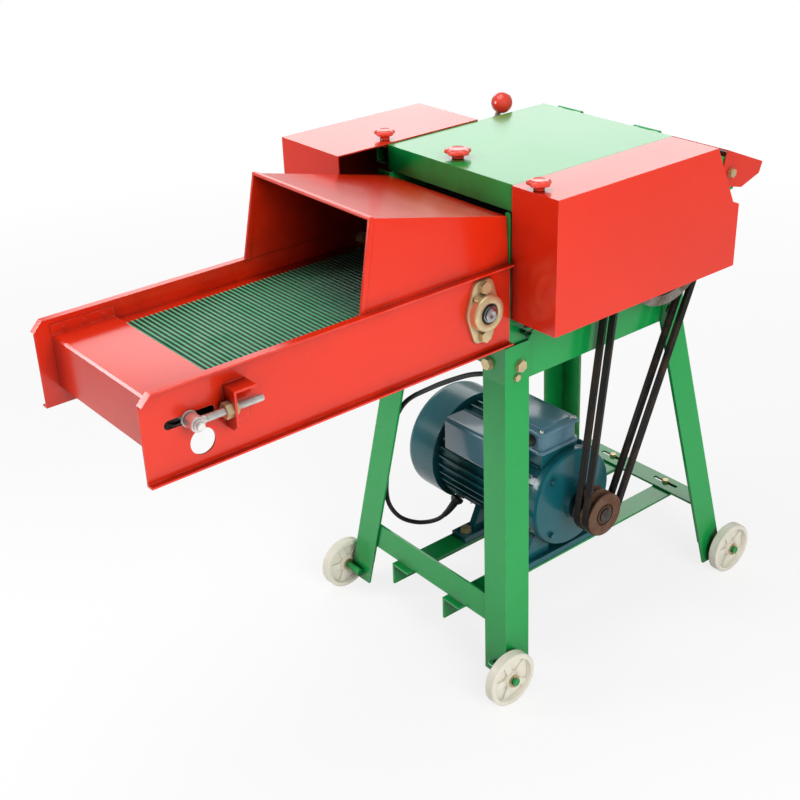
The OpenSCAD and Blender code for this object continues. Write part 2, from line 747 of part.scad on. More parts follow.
module arm(sy) {
  difference() {
    union() {
      xext(hx + 1, hx + 6) polygon([[arm_y + 13, arm_z], [arm_y + 9, arm_z - 9],
        [arm_y, arm_z - 13], [arm_y - 12, arm_z - 8], [feed_y + 12, upper_z - 21],
        [feed_y - 6, upper_z - 23], [feed_y - 24, upper_z - 16], [sy, spring_top_z - 11],
        [sy - 10, spring_top_z - 6], [sy - 11, spring_top_z + 6],
        [sy - 2, spring_top_z + 11], [feed_y - 16, upper_z + 20], [feed_y, upper_z + 26],
        [feed_y + 16, upper_z + 20], [arm_y + 6, arm_z + 12]]);
      xcyl_at(feed_y, upper_z, 20, hx + 1, hx + 18);
      xcyl_at(sy, spring_top_z, 4, hx + 5, hx + 22);
    }
    xcyl_at(arm_y, arm_z, 8 + fit, hx, hx + 20);
    xcyl_at(feed_y, upper_z, feed_shaft_r + fit, hx, hx + 20);
  }
}
module roller_arms() {
  color(grey) place() {
    arm(spring_y[0]);
    mirror([1, 0, 0]) arm(spring_y[1]);
  }
}
// Points along the middle of a coil spring's wire
function helix(r, turns, z0, z1) = [for (i = [0:turns * 10])
  [r * cos(36 * i), r * sin(36 * i), z0 + (z1 - z0) * i / (turns * 10)]];
module coil(r, wire, turns, z0, z1) {
  n = turns * 10;
  m = 6;
  pts = [for (i = [0:n]) let (a = 36 * i, z = z0 + (z1 - z0) * i / n)
    for (j = [0:m - 1]) let (b = 360 * j / m)
      [(r + wire * cos(b)) * cos(a), (r + wire * cos(b)) * sin(a), z + wire * sin(b)]];
  polyhedron(pts, concat([[for (j = [0:m - 1]) j]],
    [for (i = [0:n - 1], j = [0:m - 1]) [i * m + j, (i + 1) * m + j,
      (i + 1) * m + (j + 1) % m, i * m + (j + 1) % m]],
    [[for (j = [m - 1:-1:0]) n * m + j]]));
}
spring_r = 6.3;
spring_wire = 1.1;
spring_turns = 16;
module pressure_springs() {
  for (side = [0, 1])
    color(steel) place() mirror([side, 0, 0]) translate([hx + 14.5, spring_y[side], 0])
      coil(spring_r, spring_wire, spring_turns, spring_low_z + 1.4, spring_top_z - 5.4);
}
echo("least gap of a spring's curls", least_gap(helix(spring_r, spring_turns,
  spring_low_z + 1.4, spring_top_z - 5.4), 6, 2 * spring_wire));

// bearings and gearbox
module bearing_unit(x0, d, bore) {
  difference() {
    union() {
      xext(x0, x0 + 5) polygon(concat(arc(0, bearing_dz, 12.5, 20, 160, 8),
        arc(0, 0, 29.5, 150, 210, 6), arc(0, -bearing_dz, 12.5, 200, 340, 8),
        arc(0, 0, 29.5, -30, 30, 6)));
      xcyl(25, x0, x0 + 12);
      xcyl(21, x0, x0 + d);
    }
    xcyl(bore + fit, x0 - 1, x0 + d + 1);
    for (s = [-1, 1]) at(0, s * bearing_dz) xcyl(5.3, x0 - 1, x0 + 8);
  }
}
module flange_bearings() {
  color(gold) place() {
    for (b = bearing_at) both() at(b[0], b[1]) bearing_unit(b[2], 18, feed_shaft_r);
    difference() {
      at(rotor_y, rotor_z) union() {
        xcyl(62, hx, hx + 5);
        xcyl(36, hx, hx + 22);
      }
      at(rotor_y, rotor_z) xcyl(main_shaft_r + fit, 100, 170);
      for (b = main_bolts) xcyl_at(b[0], b[1], 4.3, hx - 1, hx + 8);
    }
  }
}
module gearbox() {
  color([0.16, 0.42, 0.28]) place() difference() {
    union() {
      box(-150, -hx, 126, 192, 592, 656);
      box(-215, -hx, 190, 342, 592, 716);
      box(-210, -hx - 2, 195, 337, 715, 720);
      xcyl_at(output_y, feed_z, 20, -156, -149);
      box(-185, -145, 240, 262, 719, 734);
      for (y = [200, 332], z = [602, 706]) xhex(y, z, 10, -219, -214);
    }
    // hollow inside
    box(-211, -hx - 4, 194, 338, 596, 712);
    xcyl_at(rotor_y, rotor_z, main_shaft_r + fit, -140, 0);
    xcyl_at(output_y, feed_z, 8 + fit, -160, 0);
    xcyl_at(251, lever_z, 5 + fit, -190, -140);
  }
}
module clutch_lever() {
  color(steel) place() {
    xcyl_at(251, lever_z, 5, -196, -144);
    xcyl_at(251, lever_z, 7, -196, -187);
    lever_rod();
  }
}
module lever_rod() {
  d = ball_at - [-192, 251, lever_z];
  translate([-192, 251, lever_z]) rotate([-asin(d[1] / norm(d)), atan(d[0] / d[2]), 0])
    cylinder(h = norm(d) - 8, r = 4.5);
}
module lever_ball() {
  color(red) place() difference() {
    translate(ball_at) sphere(r = 17, $fn = 40);
    lever_rod();
  }
}

// rotor
module main_shaft() {
  color(steel) place() at(rotor_y, rotor_z) {
    xcyl(main_shaft_r, -150, 172);
    box(155, 168, -4, 4, main_shaft_r - 1, main_shaft_r + 3);
  }
}
module knife_drum() {
  color(grey) place() at(rotor_y, rotor_z) difference() {
    union() {
      for (x = [-80, 80]) {
        xcyl(58, x - 6, x + 6);
        xcyl(30, x - 22, x + 22);
        for (i = [0:knives_n - 1]) rotate([i * 360 / knives_n + 30, 0, 0]) {
          box(x - 6, x + 6, 40, 100, -20, 20);
          for (y = [72, 90]) translate([x, y, 15]) {
            cylinder(h = 15, r = 3.9);
            translate([0, 0, 13]) cylinder(h = 5, r = 7, $fn = 6);
          }
        }
      }
    }
    xcyl(main_shaft_r, -200, 200);
  }
}
module knives() {
  color(steel) place() at(rotor_y, rotor_z) for (i = [0:knives_n - 1])
    rotate([i * 360 / knives_n + 30, 0, 0]) difference() {
      xext(-110, 110) polygon([[62, 20], [knife_r - 8, 20], [sqrt(pow(knife_r, 2) - 400), 20],
        [knife_r - 12, 28], [62, 28]]);
      for (x = [-80, 80], y = [72, 90]) translate([x, y, 0]) cylinder(h = 60, r = 4);
    }
}
module groove(r_out, x) {
  // wedge-shaped groove of one belt
  t = tan(17);
  w = v_belt_w / 2 + groove_gap;
  d = v_belt_t + 2.3;
  at(0, 0) rotate([0, 90, 0]) translate([0, 0, x]) rotate_extrude()
    polygon([[r_out + 3, w + 3 * t], [r_out + 3, -w - 3 * t], [r_out - d, -w + d * t],
      [r_out - d, w - d * t]]);
}
belt_x = [pulley_x - 27, pulley_x - 9];
module large_pulley() {
  r = main_pulley_d / 2;
  color(grey) place() at(rotor_y, rotor_z) difference() {
    union() {
      xring(r, r - 16, pulley_x - pulley_w, pulley_x);
      xcyl(r - 15, pulley_x - 14, pulley_x - 4);
      xcyl(30, pulley_x - 14, pulley_x);
    }
    for (x = belt_x) groove(r + 1.3, x);
    xcyl(main_shaft_r, 100, 200);
    box(150, 180, -4, 4, main_shaft_r - 1, main_shaft_r + 3);
    for (a = [0:60:300]) rotate([a, 0, 0]) translate([0, 58, 0]) xcyl(12, 140, 180);
  }
}
module motor_pulley() {
  r = motor_pulley_d / 2;
  color([0.36, 0.22, 0.16]) place() at(motor_y, motor_z) difference() {
    xcyl(r, pulley_x - pulley_w, pulley_x);
    for (x = belt_x) groove(r + 1.3, x);
    xcyl(12, 100, 200);
    xring(19, 15.5, pulley_x - 3, pulley_x + 1);
  }
}
module v_belts() {
  h = rotor_z - motor_z;
  w = rotor_y - motor_y;
  len = sqrt(h * h + w * w);
  tilt = atan2(h, w);
  ra = motor_pulley_d / 2 + 1.3;
  rb = main_pulley_d / 2 + 1.3;
  k = asin((rb - ra) / len);
  n = 26;
  t = tan(17);
  // path of the belt's back, as centre and direction
  path = concat(
    [for (i = [0:n]) [0, 90 + k + (180 - 2 * k) * i / n + tilt]],
    [for (i = [0:n]) [1, 270 - k + (180 + 2 * k) * i / n + tilt]]);
  m = len(path);
  prof = [[0, v_belt_w / 2], [v_belt_t, v_belt_w / 2 - v_belt_t * t],
    [v_belt_t, -v_belt_w / 2 + v_belt_t * t], [0, -v_belt_w / 2]];
  color(black) place() for (bx = belt_x)
    polyhedron([for (q = path, s = prof)
        let (r = (q[0] == 0 ? ra : rb) - s[0], cy = q[0] == 0 ? motor_y : rotor_y,
          cz = q[0] == 0 ? motor_z : rotor_z)
        [bx + s[1], cy + r * cos(q[1]), cz + r * sin(q[1])]],
      [for (i = [0:m - 1], j = [0:3]) let (a = i * 4 + j, b = i * 4 + (j + 1) % 4,
          c = ((i + 1) % m) * 4 + (j + 1) % 4, d = ((i + 1) % m) * 4 + j) [d, c, b, a]]);
}

// motor
module motor_body() {
  r = motor_r;
  color(teal) place() difference() {
    union() {
      at(motor_y, motor_z) {
        difference() {
          xcyl(r - 7, -140, 80);
          xcyl(r - 13, -132, 72);
        }
        xext(-134, 74) for (i = [0:35]) rotate(i * 10) polygon([[r - 9, -1.6], [r, -1.1],
          [r, 1.1], [r - 9, 1.6]]);
      }
      // feet
      for (x = foot_x) {
        box(x - 17, x + 17, motor_y - 112, motor_y + 112, brace_z - 2, brace_z + 9);
        for (s = [-1, 1]) xext(x - 7, x + 7) polygon([[motor_y + s * 30, brace_z + 8],
          [motor_y + s * 84, brace_z + 8], [motor_y + s * 62, motor_z - 54],
          [motor_y + s * 30, motor_z - 74]]);
      }
      // end shield that the fan cowl sits on
      at(motor_y, motor_z) xcyl(r + 5.9, -148, -139);
      // seats of the terminal box and of the capacitor box
      box(-36, 80, 122, 200, motor_z + 55, box_z);
      xext(-60, 0) at2(motor_y, motor_z) polygon([[-78, 55], [-66, 67], [-50, 53], [-64, 39]]);
      cord_side() cylinder(h = 94, r = 11);
    }
    foot_holes();
    at(motor_y, motor_z) xcyl(r - 13, -132, 72);
    at(motor_y, motor_z) xcyl(14, -150, 90);
  }
}
// Frame on the motor's flank where the cord comes out
module cord_side() {
  translate([-118, motor_y, motor_z]) rotate([140, 0, 0]) children();
}
module motor_end_bell() {
  color(teal) place() at(motor_y, motor_z) difference() {
    union() {
      translate([80, 0, 0]) rotate([0, 90, 0]) rotate_extrude() polygon([[0, 0],
        [motor_r - 5, 0], [motor_r - 5, 12], [motor_r - 9, 18], [48, 24], [32, 27],
        [30, 38], [0, 38]]);
      for (a = [45:90:315]) rotate([a, 0, 0]) translate([0, 72, 0]) xhex(0, 0, 9, 98, 106);
    }
    xcyl(12 + fit, 79, 130);
  }
}
module fan_cowl() {
  r = motor_r + 8;
  color(teal) place() at(motor_y, motor_z) difference() {
    translate([-140, 0, 0]) rotate([0, -90, 0]) rotate_extrude() polygon(concat(
      [[0, 72], [0, 70], [r - 16, 70]], arc(r - 16, 56, 14, 80, 10, 5), [[r - 2, 0]],
      [[r, 0], [r, 56]], arc(r - 16, 56, 16, 10, 80, 5), [[r - 16, 72]]));
    for (q = [24, 40, 56, 72]) difference() {
      xring(q + 4, q - 2, -220, -200);
      for (a = [0, 60, 120]) rotate([a, 0, 0]) box(-230, -190, -100, 100, -4, 4);
    }
  }
}
module motor_shaft() {
  color(steel) place() at(motor_y, motor_z) {
    xcyl(12, -190, 173);
    xcyl(36, -120, 66);
  }
}
module cooling_fan() {
  color(black) place() at(motor_y, motor_z) difference() {
    union() {
      xcyl(26, -190, -158);
      xcyl(80, -162, -158);
      xext(-188, -160) for (a = [0:45:315]) rotate(a) translate([20, -1.5]) square([58, 3]);
    }
    xcyl(12, -200, -150);
  }
}
module terminal_box() {
  color([0.30, 0.42, 0.52]) place() {
    box(-40, 84, 117, 205, box_z, box_z + 6);
    box(-36, 80, 121, 201, box_z + 5, box_z + 35);
    box(-40, 84, 117, 205, box_z + 34, box_z + 40);
    for (x = [-32, 76], y = [125, 197]) translate([x, y, box_z + 39]) cylinder(h = 4, r = 4);
    ycyl_at(58, box_z + 20, 9, 103, 122);
  }
}
module capacitor_box() {
  color([0.24, 0.36, 0.46]) place() {
    xext(-90, 30) at2(motor_y, motor_z) polygon([[-108, 55], [-78, 55], [-66, 67], [-66, 117],
      [-106, 117], [-114, 109], [-114, 61]]);
  }
}

// covers
module lid() {
  w = lid_w / 2 - 0.5;
  color(green) place() difference() {
    union() {
      box(-w, w, 0, lid_l, lid_top_z - sheet_t, lid_top_z);
      box(-w, w, 0, sheet_t, lid_top_z - lid_lip, lid_top_z);
      both() box(w - sheet_t, w, 0, lid_l, lid_top_z - 12, lid_top_z);
      both() {
        at(332, 798) xcyl(5, 55, 67.5);
        at(332, 798) xcyl(5, 92.5, 105);
        box(55, 67.5, lid_l - 6, 332, lid_top_z - 2.2, lid_top_z);
        box(92.5, 105, lid_l - 6, 332, lid_top_z - 2.2, lid_top_z);
      }
    }
    both() at(332, 798) xcyl(3 + fit, 40, 110);
    translate([-11, 29, 790]) cylinder(h = 20, r = 4 + fit);
  }
}
module star_knob(x, y, z, stud) {
  translate([x, y, z]) {
    translate([0, 0, 0.3]) cylinder(h = 6, r = 8);
    for (a = [0:72:288]) rotate(a + 11) translate([9, 0, 5]) cylinder(h = 11, r = 4.5);
    translate([0, 0, 4.2]) cylinder(h = 12.6, r = 10);
    translate([0, 0, -stud]) cylinder(h = stud + 6, r = 4);
  }
}
module lid_knob() {
  color(black) place() star_knob(-11, 29, lid_top_z, 16);
}
module guard_knob() {
  color(black) place() star_knob(172, 10, lid_top_z, 14);
}
module gear_cover_knob() {
  color(black) place() star_knob(-156, 11, 804, 14);
}
module belt_guard() {
  color(red) place() difference() {
    union() {
      // outer wall
      xext(guard_x - sheet_t, guard_x) polygon([[-3, cover_low_z], [-3, lid_top_z], [324, lid_top_z],
        [370, 710], [384, 705], [384, cover_low_z]]);
      // front wall, top and sloping rear
      box(135, guard_x, -3, -1, cover_low_z, lid_top_z);
      box(135, guard_x, -3, 324, lid_top_z - sheet_t, lid_top_z);
      // narrow return round the open rear
      xext(guard_x - 12, guard_x) polygon([[324, lid_top_z], [370, 710], [384, 705],
        [384, cover_low_z], [382, cover_low_z], [382, 703.6], [368.6, 708.4],
        [321.6, lid_top_z - 1]]);
    }
    translate([172, 10, 780]) cylinder(h = 40, r = 4.4);
  }
}
module gear_cover() {
  y0 = gear_cover_y0;
  y1 = gear_cover_y1;
  t = 804;
  color(red) place() difference() {
    union() {
      box(-gear_x, -gear_x + sheet_t, y0, y1, 600, t);
      box(-gear_x, -135, y0, y1, t - sheet_t, t);
      box(-gear_x, -146, y0, y0 + sheet_t, 600, t);
      box(-gear_x, -135, y0, y0 + sheet_t, 698, t);
      box(-gear_x, -153, y1 - sheet_t, y1, 600, t);
      box(-gear_x, -135.5, y1 - sheet_t, y1, 690, t);
    }
    translate([-156, 11, 780]) cylinder(h = 40, r = 4.4);
  }
}
module deflector() {
  color(red) place() difference() {
    union() {
      both() xext(hx + 0.3, hx + 2.3) polygon([[471.7, 748.6], [564, 711], [557, 693],
        [513, 679], [470, 690], [464, 710], [464, 733]]);
      xext(-hx - 2.3, hx + 2.3) polygon([[471.7, 748.6], [564, 711], [563.2, 709.1],
        [470.9, 746.7]]);
      xext(-hx - 2.3, hx + 2.3) polygon([[564, 711], [560.5, 702], [558.6, 702.7], [562, 711.8]]);
    }
    xcyl_at(482, 710, 4 + fit, -140, 140);
  }
}

// wheels
module wheel() {
  r = wheel_d / 2;
  h = wheel_w / 2;
  difference() {
    union() {
      difference() {
        translate([-h, 0, 0]) rotate([0, 90, 0]) rotate_extrude() polygon([[axle_r + fit, 0],
          [axle_r + fit, wheel_w], [13, wheel_w], [14, wheel_w - 4], [r - 9, wheel_w - 5.5],
          [r - 7.5, wheel_w], [r - 2, wheel_w], [r, wheel_w - 2], [r, 2], [r - 2, 0],
          [r - 7.5, 0], [r - 9, 5.5], [14, 4], [13, 0]]);
        // pockets between the spokes
        for (s = [-1, 1], a = [0:72:288]) rotate([a, 0, 0])
          xext(s > 0 ? 1.5 : -h - 1, s > 0 ? h + 1 : -1.5) polygon(concat(
            arc(0, 0, r - 10, -26, 26, 8), arc(0, 0, 15, 15, -15, 4)));
      }
    }
    xcyl(axle_r + fit, -20, 20);
  }
}
module wheel_at(x, y) {
  translate([x, y, low_z]) wheel();
}
wx = wheel_track / 2;
wyf = -10 - foot_out - axle_r + 0.3;
wyr = rear_leg_y + foot_out_rear + axle_r - 0.3;
module wheel_front_right() {
  color(cream) place() wheel_at(wx, wyf);
}
module wheel_front_left() {
  color(cream) place() wheel_at(-wx, wyf);
}
module wheel_rear_right() {
  color(cream) place() wheel_at(wx, wyr);
}
module wheel_rear_left() {
  color(cream) place() wheel_at(-wx, wyr);
}

// bolts
module frame_bolts() {
  color(gold) place() {
    for (b = leg_bolts) {
      x_bolt(b[0], b[1], hi, hx + angle_t, b[2], 0.42);
      mirror([1, 0, 0]) x_bolt(b[0], b[1], hi, hx + angle_t, b[2], 0.42);
    }
    both() y_bolt(97, 526, -10, -3, 10);
    for (x = rail_x, y = rail_bolts_y) z_bolt(x + 11, y, brace_z - 6, brace_z + 2, 6);
    for (x = foot_x, y = foot_y) z_bolt(x, y, brace_z - 6, brace_z + 9, 10);
    for (b = bearing_at, s = [-1, 1]) {
      x_bolt(b[0], b[1] + s * bearing_dz, b[3], b[2] + 5, 10);
      mirror([1, 0, 0]) x_bolt(b[0], b[1] + s * bearing_dz, b[3], b[2] + 5, 10);
    }
    for (b = main_bolts) x_bolt(b[0], b[1], hi, hx + 5, 8);
    // spout pivots
    both() x_bolt(482, 710, hi, hx + 2.6, 8);
    // nuts of the belt adjusters
    both() difference() {
      union() {
        yhex(adjust_x, idler_z, 19, adjust_y - 9, adjust_y);
        yhex(adjust_x, idler_z, 17, adjust_y + 3, adjust_y + 8);
      }
      ycyl_at(adjust_x, idler_z, 5 + fit, adjust_y - 20, adjust_y + 20);
    }
    // axle washers and split pins
    for (y = [wyf, wyr]) both() {
      at(y, low_z) {
        xring(11, axle_r + 0.1, wx + wheel_w / 2 + 0.3, wx + wheel_w / 2 + 1.6);
        xring(11, axle_r + 0.1, wx - wheel_w / 2 - 1.8, wx - wheel_w / 2 - 0.3);
      }
      translate([221.5, y, low_z - 11]) cylinder(h = 22, r = 1.5);
    }
    // bolts of the fixed blade
    for (x = [-90, -30, 30, 90]) translate([x, 136, 606]) {
      cylinder(h = 63, r = 3);
      cylinder(h = 6, r = 6, $fn = 6);
    }
  }
}

// cord
cord_path = [[-118, 110, 137], [-120, 104, 129], [-126, 96, 116], [-137, 86, 102],
  [-152, 73, 94], [-165, 54, 96], [-171, 28, 114], [-170, 6, 145], [-165, -6, 180],
  [-157, -10, 225], [-151, -10, 269], [-143, -9, 304], [-135, -7, 334], [-125, -4, 357],
  [-112, -1, 377], [-93, 1, 395], [-71, 1, 411], [-48, 1, 427], [-26, 2, 442],
  [5, 5, 461], [30, 9, 475], [50, 12, 483.5], [63, 15, 486.6], [76, 17, 484.2],
  [87, 19, 477], [94, 21, 466], [96.7, 22, 453], [97.5, 24, 420], [98.5, 29, 370],
  [100, 33, 300], [100, 34, 220], [100, 34, 140], [100, 34, 80], [100, 34, 56],
  [100, 34, 38], [98, 36, 25], [92.5, 41, 14], [84.5, 48, 6.7], [75, 57, 4.1],
  [60, 70, 4.1], [40, 87, 4.1], [18, 106, 4.1], [-14, 135, 4.1], [-42, 162, 4.1],
  [-66, 186.5, 4.1], [-85, 208, 4.1], [-98, 229, 4.1], [-106.5, 251, 4.1],
  [-110, 272, 4.1], [-110, 288.6, 4.1]];
// Tube along a list of points
module tube(p, r) {
  n = len(p);
  m = 8;
  function unit(v) = v / norm(v);
  t = [for (i = [0:n - 1]) unit(p[min(i + 1, n - 1)] - p[max(i - 1, 0)])];
  // a frame carried along the path
  function frames(i, u, acc) = i == n ? acc
    : let (w = unit(u - (u * t[i]) * t[i])) frames(i + 1, w, concat(acc, [w]));
  us = frames(0, abs(t[0][2]) > 0.9 ? [1, 0, 0] : [0, 0, 1], []);
  polyhedron([for (i = [0:n - 1], j = [0:m - 1]) let (v = cross(t[i], us[i]), a = 360 * j / m)
      p[i] + r * cos(a) * us[i] + r * sin(a) * v],
    concat([[for (j = [m - 1:-1:0]) j]],
      [for (i = [0:n - 2], j = [0:m - 1]) [i * m + j, i * m + (j + 1) % m,
        (i + 1) * m + (j + 1) % m, (i + 1) * m + j]],
      [[for (j = [0:m - 1]) (n - 1) * m + j]]));
}
module power_cord() {
  color(black) place() tube(cord_path, cord_d / 2);
}
module cord_gland() {
  color(black) place() {
    cord_side() {
      translate([0, 0, 94]) cylinder(h = 5, r = 10, $fn = 6);
      translate([0, 0, 98]) cylinder(h = 6, r = 7);
    }
  }
}
// Coil of four turns, each lying on the one below, and the end that lies across it
coil_path = concat([for (i = [0:127]) let (a = i * 12, c = 46 + 1.5 * sin(a * 0.45))
  [-156 + c * cos(a), 289 + c * sin(a), 4.1 + i * 0.284]],
  [for (a = [100:16:180]) [-154.7 + 33 * cos(a), 301 + 33 * sin(a), 40.6 + (a - 84) / 9.4]],
  [[-187.7, 285, 52.2], [-187.7, 270.4, 52.6]]);
// Least gap between turns of a path, its points on one turn left out
function least_gap(p, turn, d) =
  min([for (i = [0:len(p) - 1 - turn], j = [i + turn:len(p) - 1]) norm(p[i] - p[j])]) - d;
echo("least gap of the cord's coil to itself", least_gap(coil_path, 20, cord_d));
module cord_coil() {
  color(black) place() tube(coil_path, cord_d / 2);
}
module plug() {
  color(black) place() translate([-187.7, 0, 52.6]) {
    ycyl_at(0, 0, 8, 262, 270);
    ycyl_at(0, 0, 13, 234, 263);
    ycyl_at(0, 0, 17, 234, 239);
    for (s = [-1, 1]) ycyl_at(s * 8, 0, 2.4, 216, 235);
  }
}

leg_front_right();
leg_front_left();
leg_rear_right();
leg_rear_left();
front_cross_beam();
front_brace();
rear_brace();
motor_rails();
side_plate_right();
side_plate_left();
rotor_housing();
blade_bed();
fixed_blade();
tray_side_right();
tray_side_left();
tray_deck();
feed_hood();
conveyor_belt();
belt_guard();
gear_cover();
flange_bearings();
gearbox();
motor_body();
motor_end_bell();
fan_cowl();
terminal_box();
capacitor_box();
v_belts();
frame_bolts();
power_cord();
cord_gland();
cord_coil();
plug();
lid();
lid_knob();
guard_knob();
gear_cover_knob();
main_shaft();
knife_drum();
knives();
large_pulley();
motor_shaft();
motor_pulley();
cooling_fan();
conveyor_drive_roller();
idler_roller();
take_up();
lower_feed_roller();
upper_feed_roller();
idler_gear();
output_gear();
roller_arms();
pressure_springs();
deflector();
clutch_lever();
lever_ball();
wheel_front_right();
wheel_front_left();
wheel_rear_right();
wheel_rear_left();
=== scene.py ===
# %% [markdown]
# # A small straw shredder
#
# The machine is a drum chaff cutter: straw rides on a ribbed belt under a red
# hood, toothed rollers pull it in and three knives on a drum cut it. An
# electric motor between the legs drives the drum through two V-belts. This
# notebook dresses the finished frame: it gives each sheet, casting and belt
# its real surface, and adds the small pieces that the frame leaves out.

# %% Load the frame
import json
import math
import random

import bmesh
import bpy
from mathutils import Matrix, Vector

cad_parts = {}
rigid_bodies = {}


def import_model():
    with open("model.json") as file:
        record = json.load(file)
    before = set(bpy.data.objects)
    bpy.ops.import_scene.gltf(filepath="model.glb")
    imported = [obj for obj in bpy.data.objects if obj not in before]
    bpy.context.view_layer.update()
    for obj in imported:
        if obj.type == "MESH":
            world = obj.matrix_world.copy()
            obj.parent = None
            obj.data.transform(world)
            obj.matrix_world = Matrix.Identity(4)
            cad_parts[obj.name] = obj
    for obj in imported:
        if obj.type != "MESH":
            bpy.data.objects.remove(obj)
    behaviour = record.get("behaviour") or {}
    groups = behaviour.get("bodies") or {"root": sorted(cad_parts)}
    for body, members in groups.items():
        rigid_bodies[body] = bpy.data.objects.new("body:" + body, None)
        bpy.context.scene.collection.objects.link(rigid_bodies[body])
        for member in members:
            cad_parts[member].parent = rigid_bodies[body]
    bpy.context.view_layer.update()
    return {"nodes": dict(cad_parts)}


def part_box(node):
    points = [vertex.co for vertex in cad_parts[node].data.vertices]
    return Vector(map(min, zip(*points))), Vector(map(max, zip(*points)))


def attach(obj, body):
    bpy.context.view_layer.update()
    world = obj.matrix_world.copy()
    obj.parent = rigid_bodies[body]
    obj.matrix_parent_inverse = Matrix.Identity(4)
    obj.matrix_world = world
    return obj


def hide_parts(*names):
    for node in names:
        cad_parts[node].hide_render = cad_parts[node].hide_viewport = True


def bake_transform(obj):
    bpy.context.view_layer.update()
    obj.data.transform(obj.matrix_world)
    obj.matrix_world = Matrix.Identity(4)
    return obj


bpy.ops.object.select_all(action="SELECT")
bpy.ops.object.delete()
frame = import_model()

# %% [markdown]
# ## Places on the machine
#
# A maker measures from a part that can be touched. Here every place is given
# in millimetres from the middle of the lid's front edge on the floor below
# it: x to the belt guard, y back along the machine, z up. The lid's own box
# gives that point, so the whole notebook follows the frame.

# %% Millimetres from the lid's front edge
lid_low, lid_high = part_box("lid")
mid_x = (lid_low.x + lid_high.x) / 2
front_y = lid_low.y


def mm(x, y, z):
    return Vector((mid_x + x / 1000, front_y + y / 1000, z / 1000))


def centre(node):
    low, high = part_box(node)
    return (low + high) / 2


print("lid front edge", tuple(round(v, 4) for v in mm(0, 0, 0)))

# %% [markdown]
# ## The camera
#
# The photograph looks down on the feed table from its right, and the camera
# is tipped two degrees to one side. It goes in first, because the cord's
# route has to suit what it sees. Its axes are worked out from the three
# angles, which is easier to trust than a chain of Euler turns.

# %% Camera
CAMERA_AZIMUTH = math.radians(51.5)
CAMERA_ELEVATION = math.radians(27.6)
CAMERA_ROLL = math.radians(-2.0)
CAMERA_DISTANCE = 2.18
CAMERA_TARGET = Vector((-0.154, 0.0551, 0.3401))

back = Vector((
    math.sin(CAMERA_AZIMUTH) * math.cos(CAMERA_ELEVATION),
    -math.cos(CAMERA_AZIMUTH) * math.cos(CAMERA_ELEVATION),
    math.sin(CAMERA_ELEVATION),
))
right = Vector((math.cos(CAMERA_AZIMUTH), math.sin(CAMERA_AZIMUTH), 0))
up = back.cross(right)
camera_x = math.cos(CAMERA_ROLL) * right + math.sin(CAMERA_ROLL) * up
camera_y = -math.sin(CAMERA_ROLL) * right + math.cos(CAMERA_ROLL) * up
camera = bpy.data.objects.new("camera", bpy.data.cameras.new("camera"))
camera.data.lens = 57.75
camera.data.sensor_width = 36
camera.data.clip_start = 0.05
camera.data.clip_end = 30
turn = Matrix((camera_x, camera_y, back)).transposed()
camera.matrix_world = Matrix.Translation(CAMERA_TARGET + back * CAMERA_DISTANCE) @ turn.to_4x4()
bpy.context.scene.collection.objects.link(camera)
bpy.context.scene.camera = camera
print("camera at", tuple(round(v, 3) for v in camera.matrix_world.translation))

# %% [markdown]
# ## Tools for making meshes
#
# Nearly every small piece of a machine is turned, bent from sheet or pressed.
# So four helpers cover them: a lathe for turned pieces, a sweep that carries
# a section along a path, a rounded block, and one that turns the result into
# an object that rides on a body and is shaded smoothly.


# %% Making objects
def make_piece(name, mesh_data, body, smooth_angle=40):
    """An object from a bmesh, riding on a body and shaded smoothly.

    A piece given no body is left unattached.
    """
    mesh = bpy.data.meshes.new(name)
    bmesh.ops.recalc_face_normals(mesh_data, faces=mesh_data.faces)
    mesh_data.to_mesh(mesh)
    mesh_data.free()
    piece = bpy.data.objects.new(name, mesh)
    bpy.context.scene.collection.objects.link(piece)
    mesh.shade_smooth()
    mesh.set_sharp_from_angle(angle=math.radians(smooth_angle))
    if body:
        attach(piece, body)
    return piece


def axis_turn(axis):
    """Rotation that carries Z to the axis."""
    return Vector((0, 0, 1)).rotation_difference(Vector(axis)).to_matrix().to_4x4()


def lathe(bm, profile, at, axis=(0, 0, 1), steps=48, lobe_count=0, closed=False):
    """Turns a profile of (radius, height[, lobe depth]) millimetres about an axis at a point.

    A closed profile makes a ring; an open one is capped at both ends.
    """
    place = Matrix.Translation(at) @ axis_turn(axis)
    rings = []
    for radius, height, *depth in profile:
        if radius < 1e-6:
            rings.append([bm.verts.new(place @ Vector((0, 0, height / 1000)))])
            continue
        ring = []
        for i in range(steps):
            a = math.tau * i / steps
            r = radius * (1 + depth[0] * math.cos(lobe_count * a)) if depth else radius
            ring.append(bm.verts.new(place @ Vector(
                (r * math.cos(a) / 1000, r * math.sin(a) / 1000, height / 1000))))
        rings.append(ring)
    join_rings(bm, rings, closed)
    return rings


def join_rings(bm, rings, closed=False):
    """Faces between rings of points, with caps unless the last meets the first."""
    steps = max(len(ring) for ring in rings)
    pairs = list(zip(rings, rings[1:]))
    if closed:
        pairs.append((rings[-1], rings[0]))
    for low, high in pairs:
        for i in range(steps):
            j = (i + 1) % steps
            corners = [low[i % len(low)], low[j % len(low)], high[j % len(high)], high[i % len(high)]]
            corners = [v for n, v in enumerate(corners) if v not in corners[:n]]
            if len(corners) > 2:
                bm.faces.new(corners)
    if not closed:
        for ring in (rings[0], rings[-1]):
            if len(ring) > 1:
                bm.faces.new(ring)


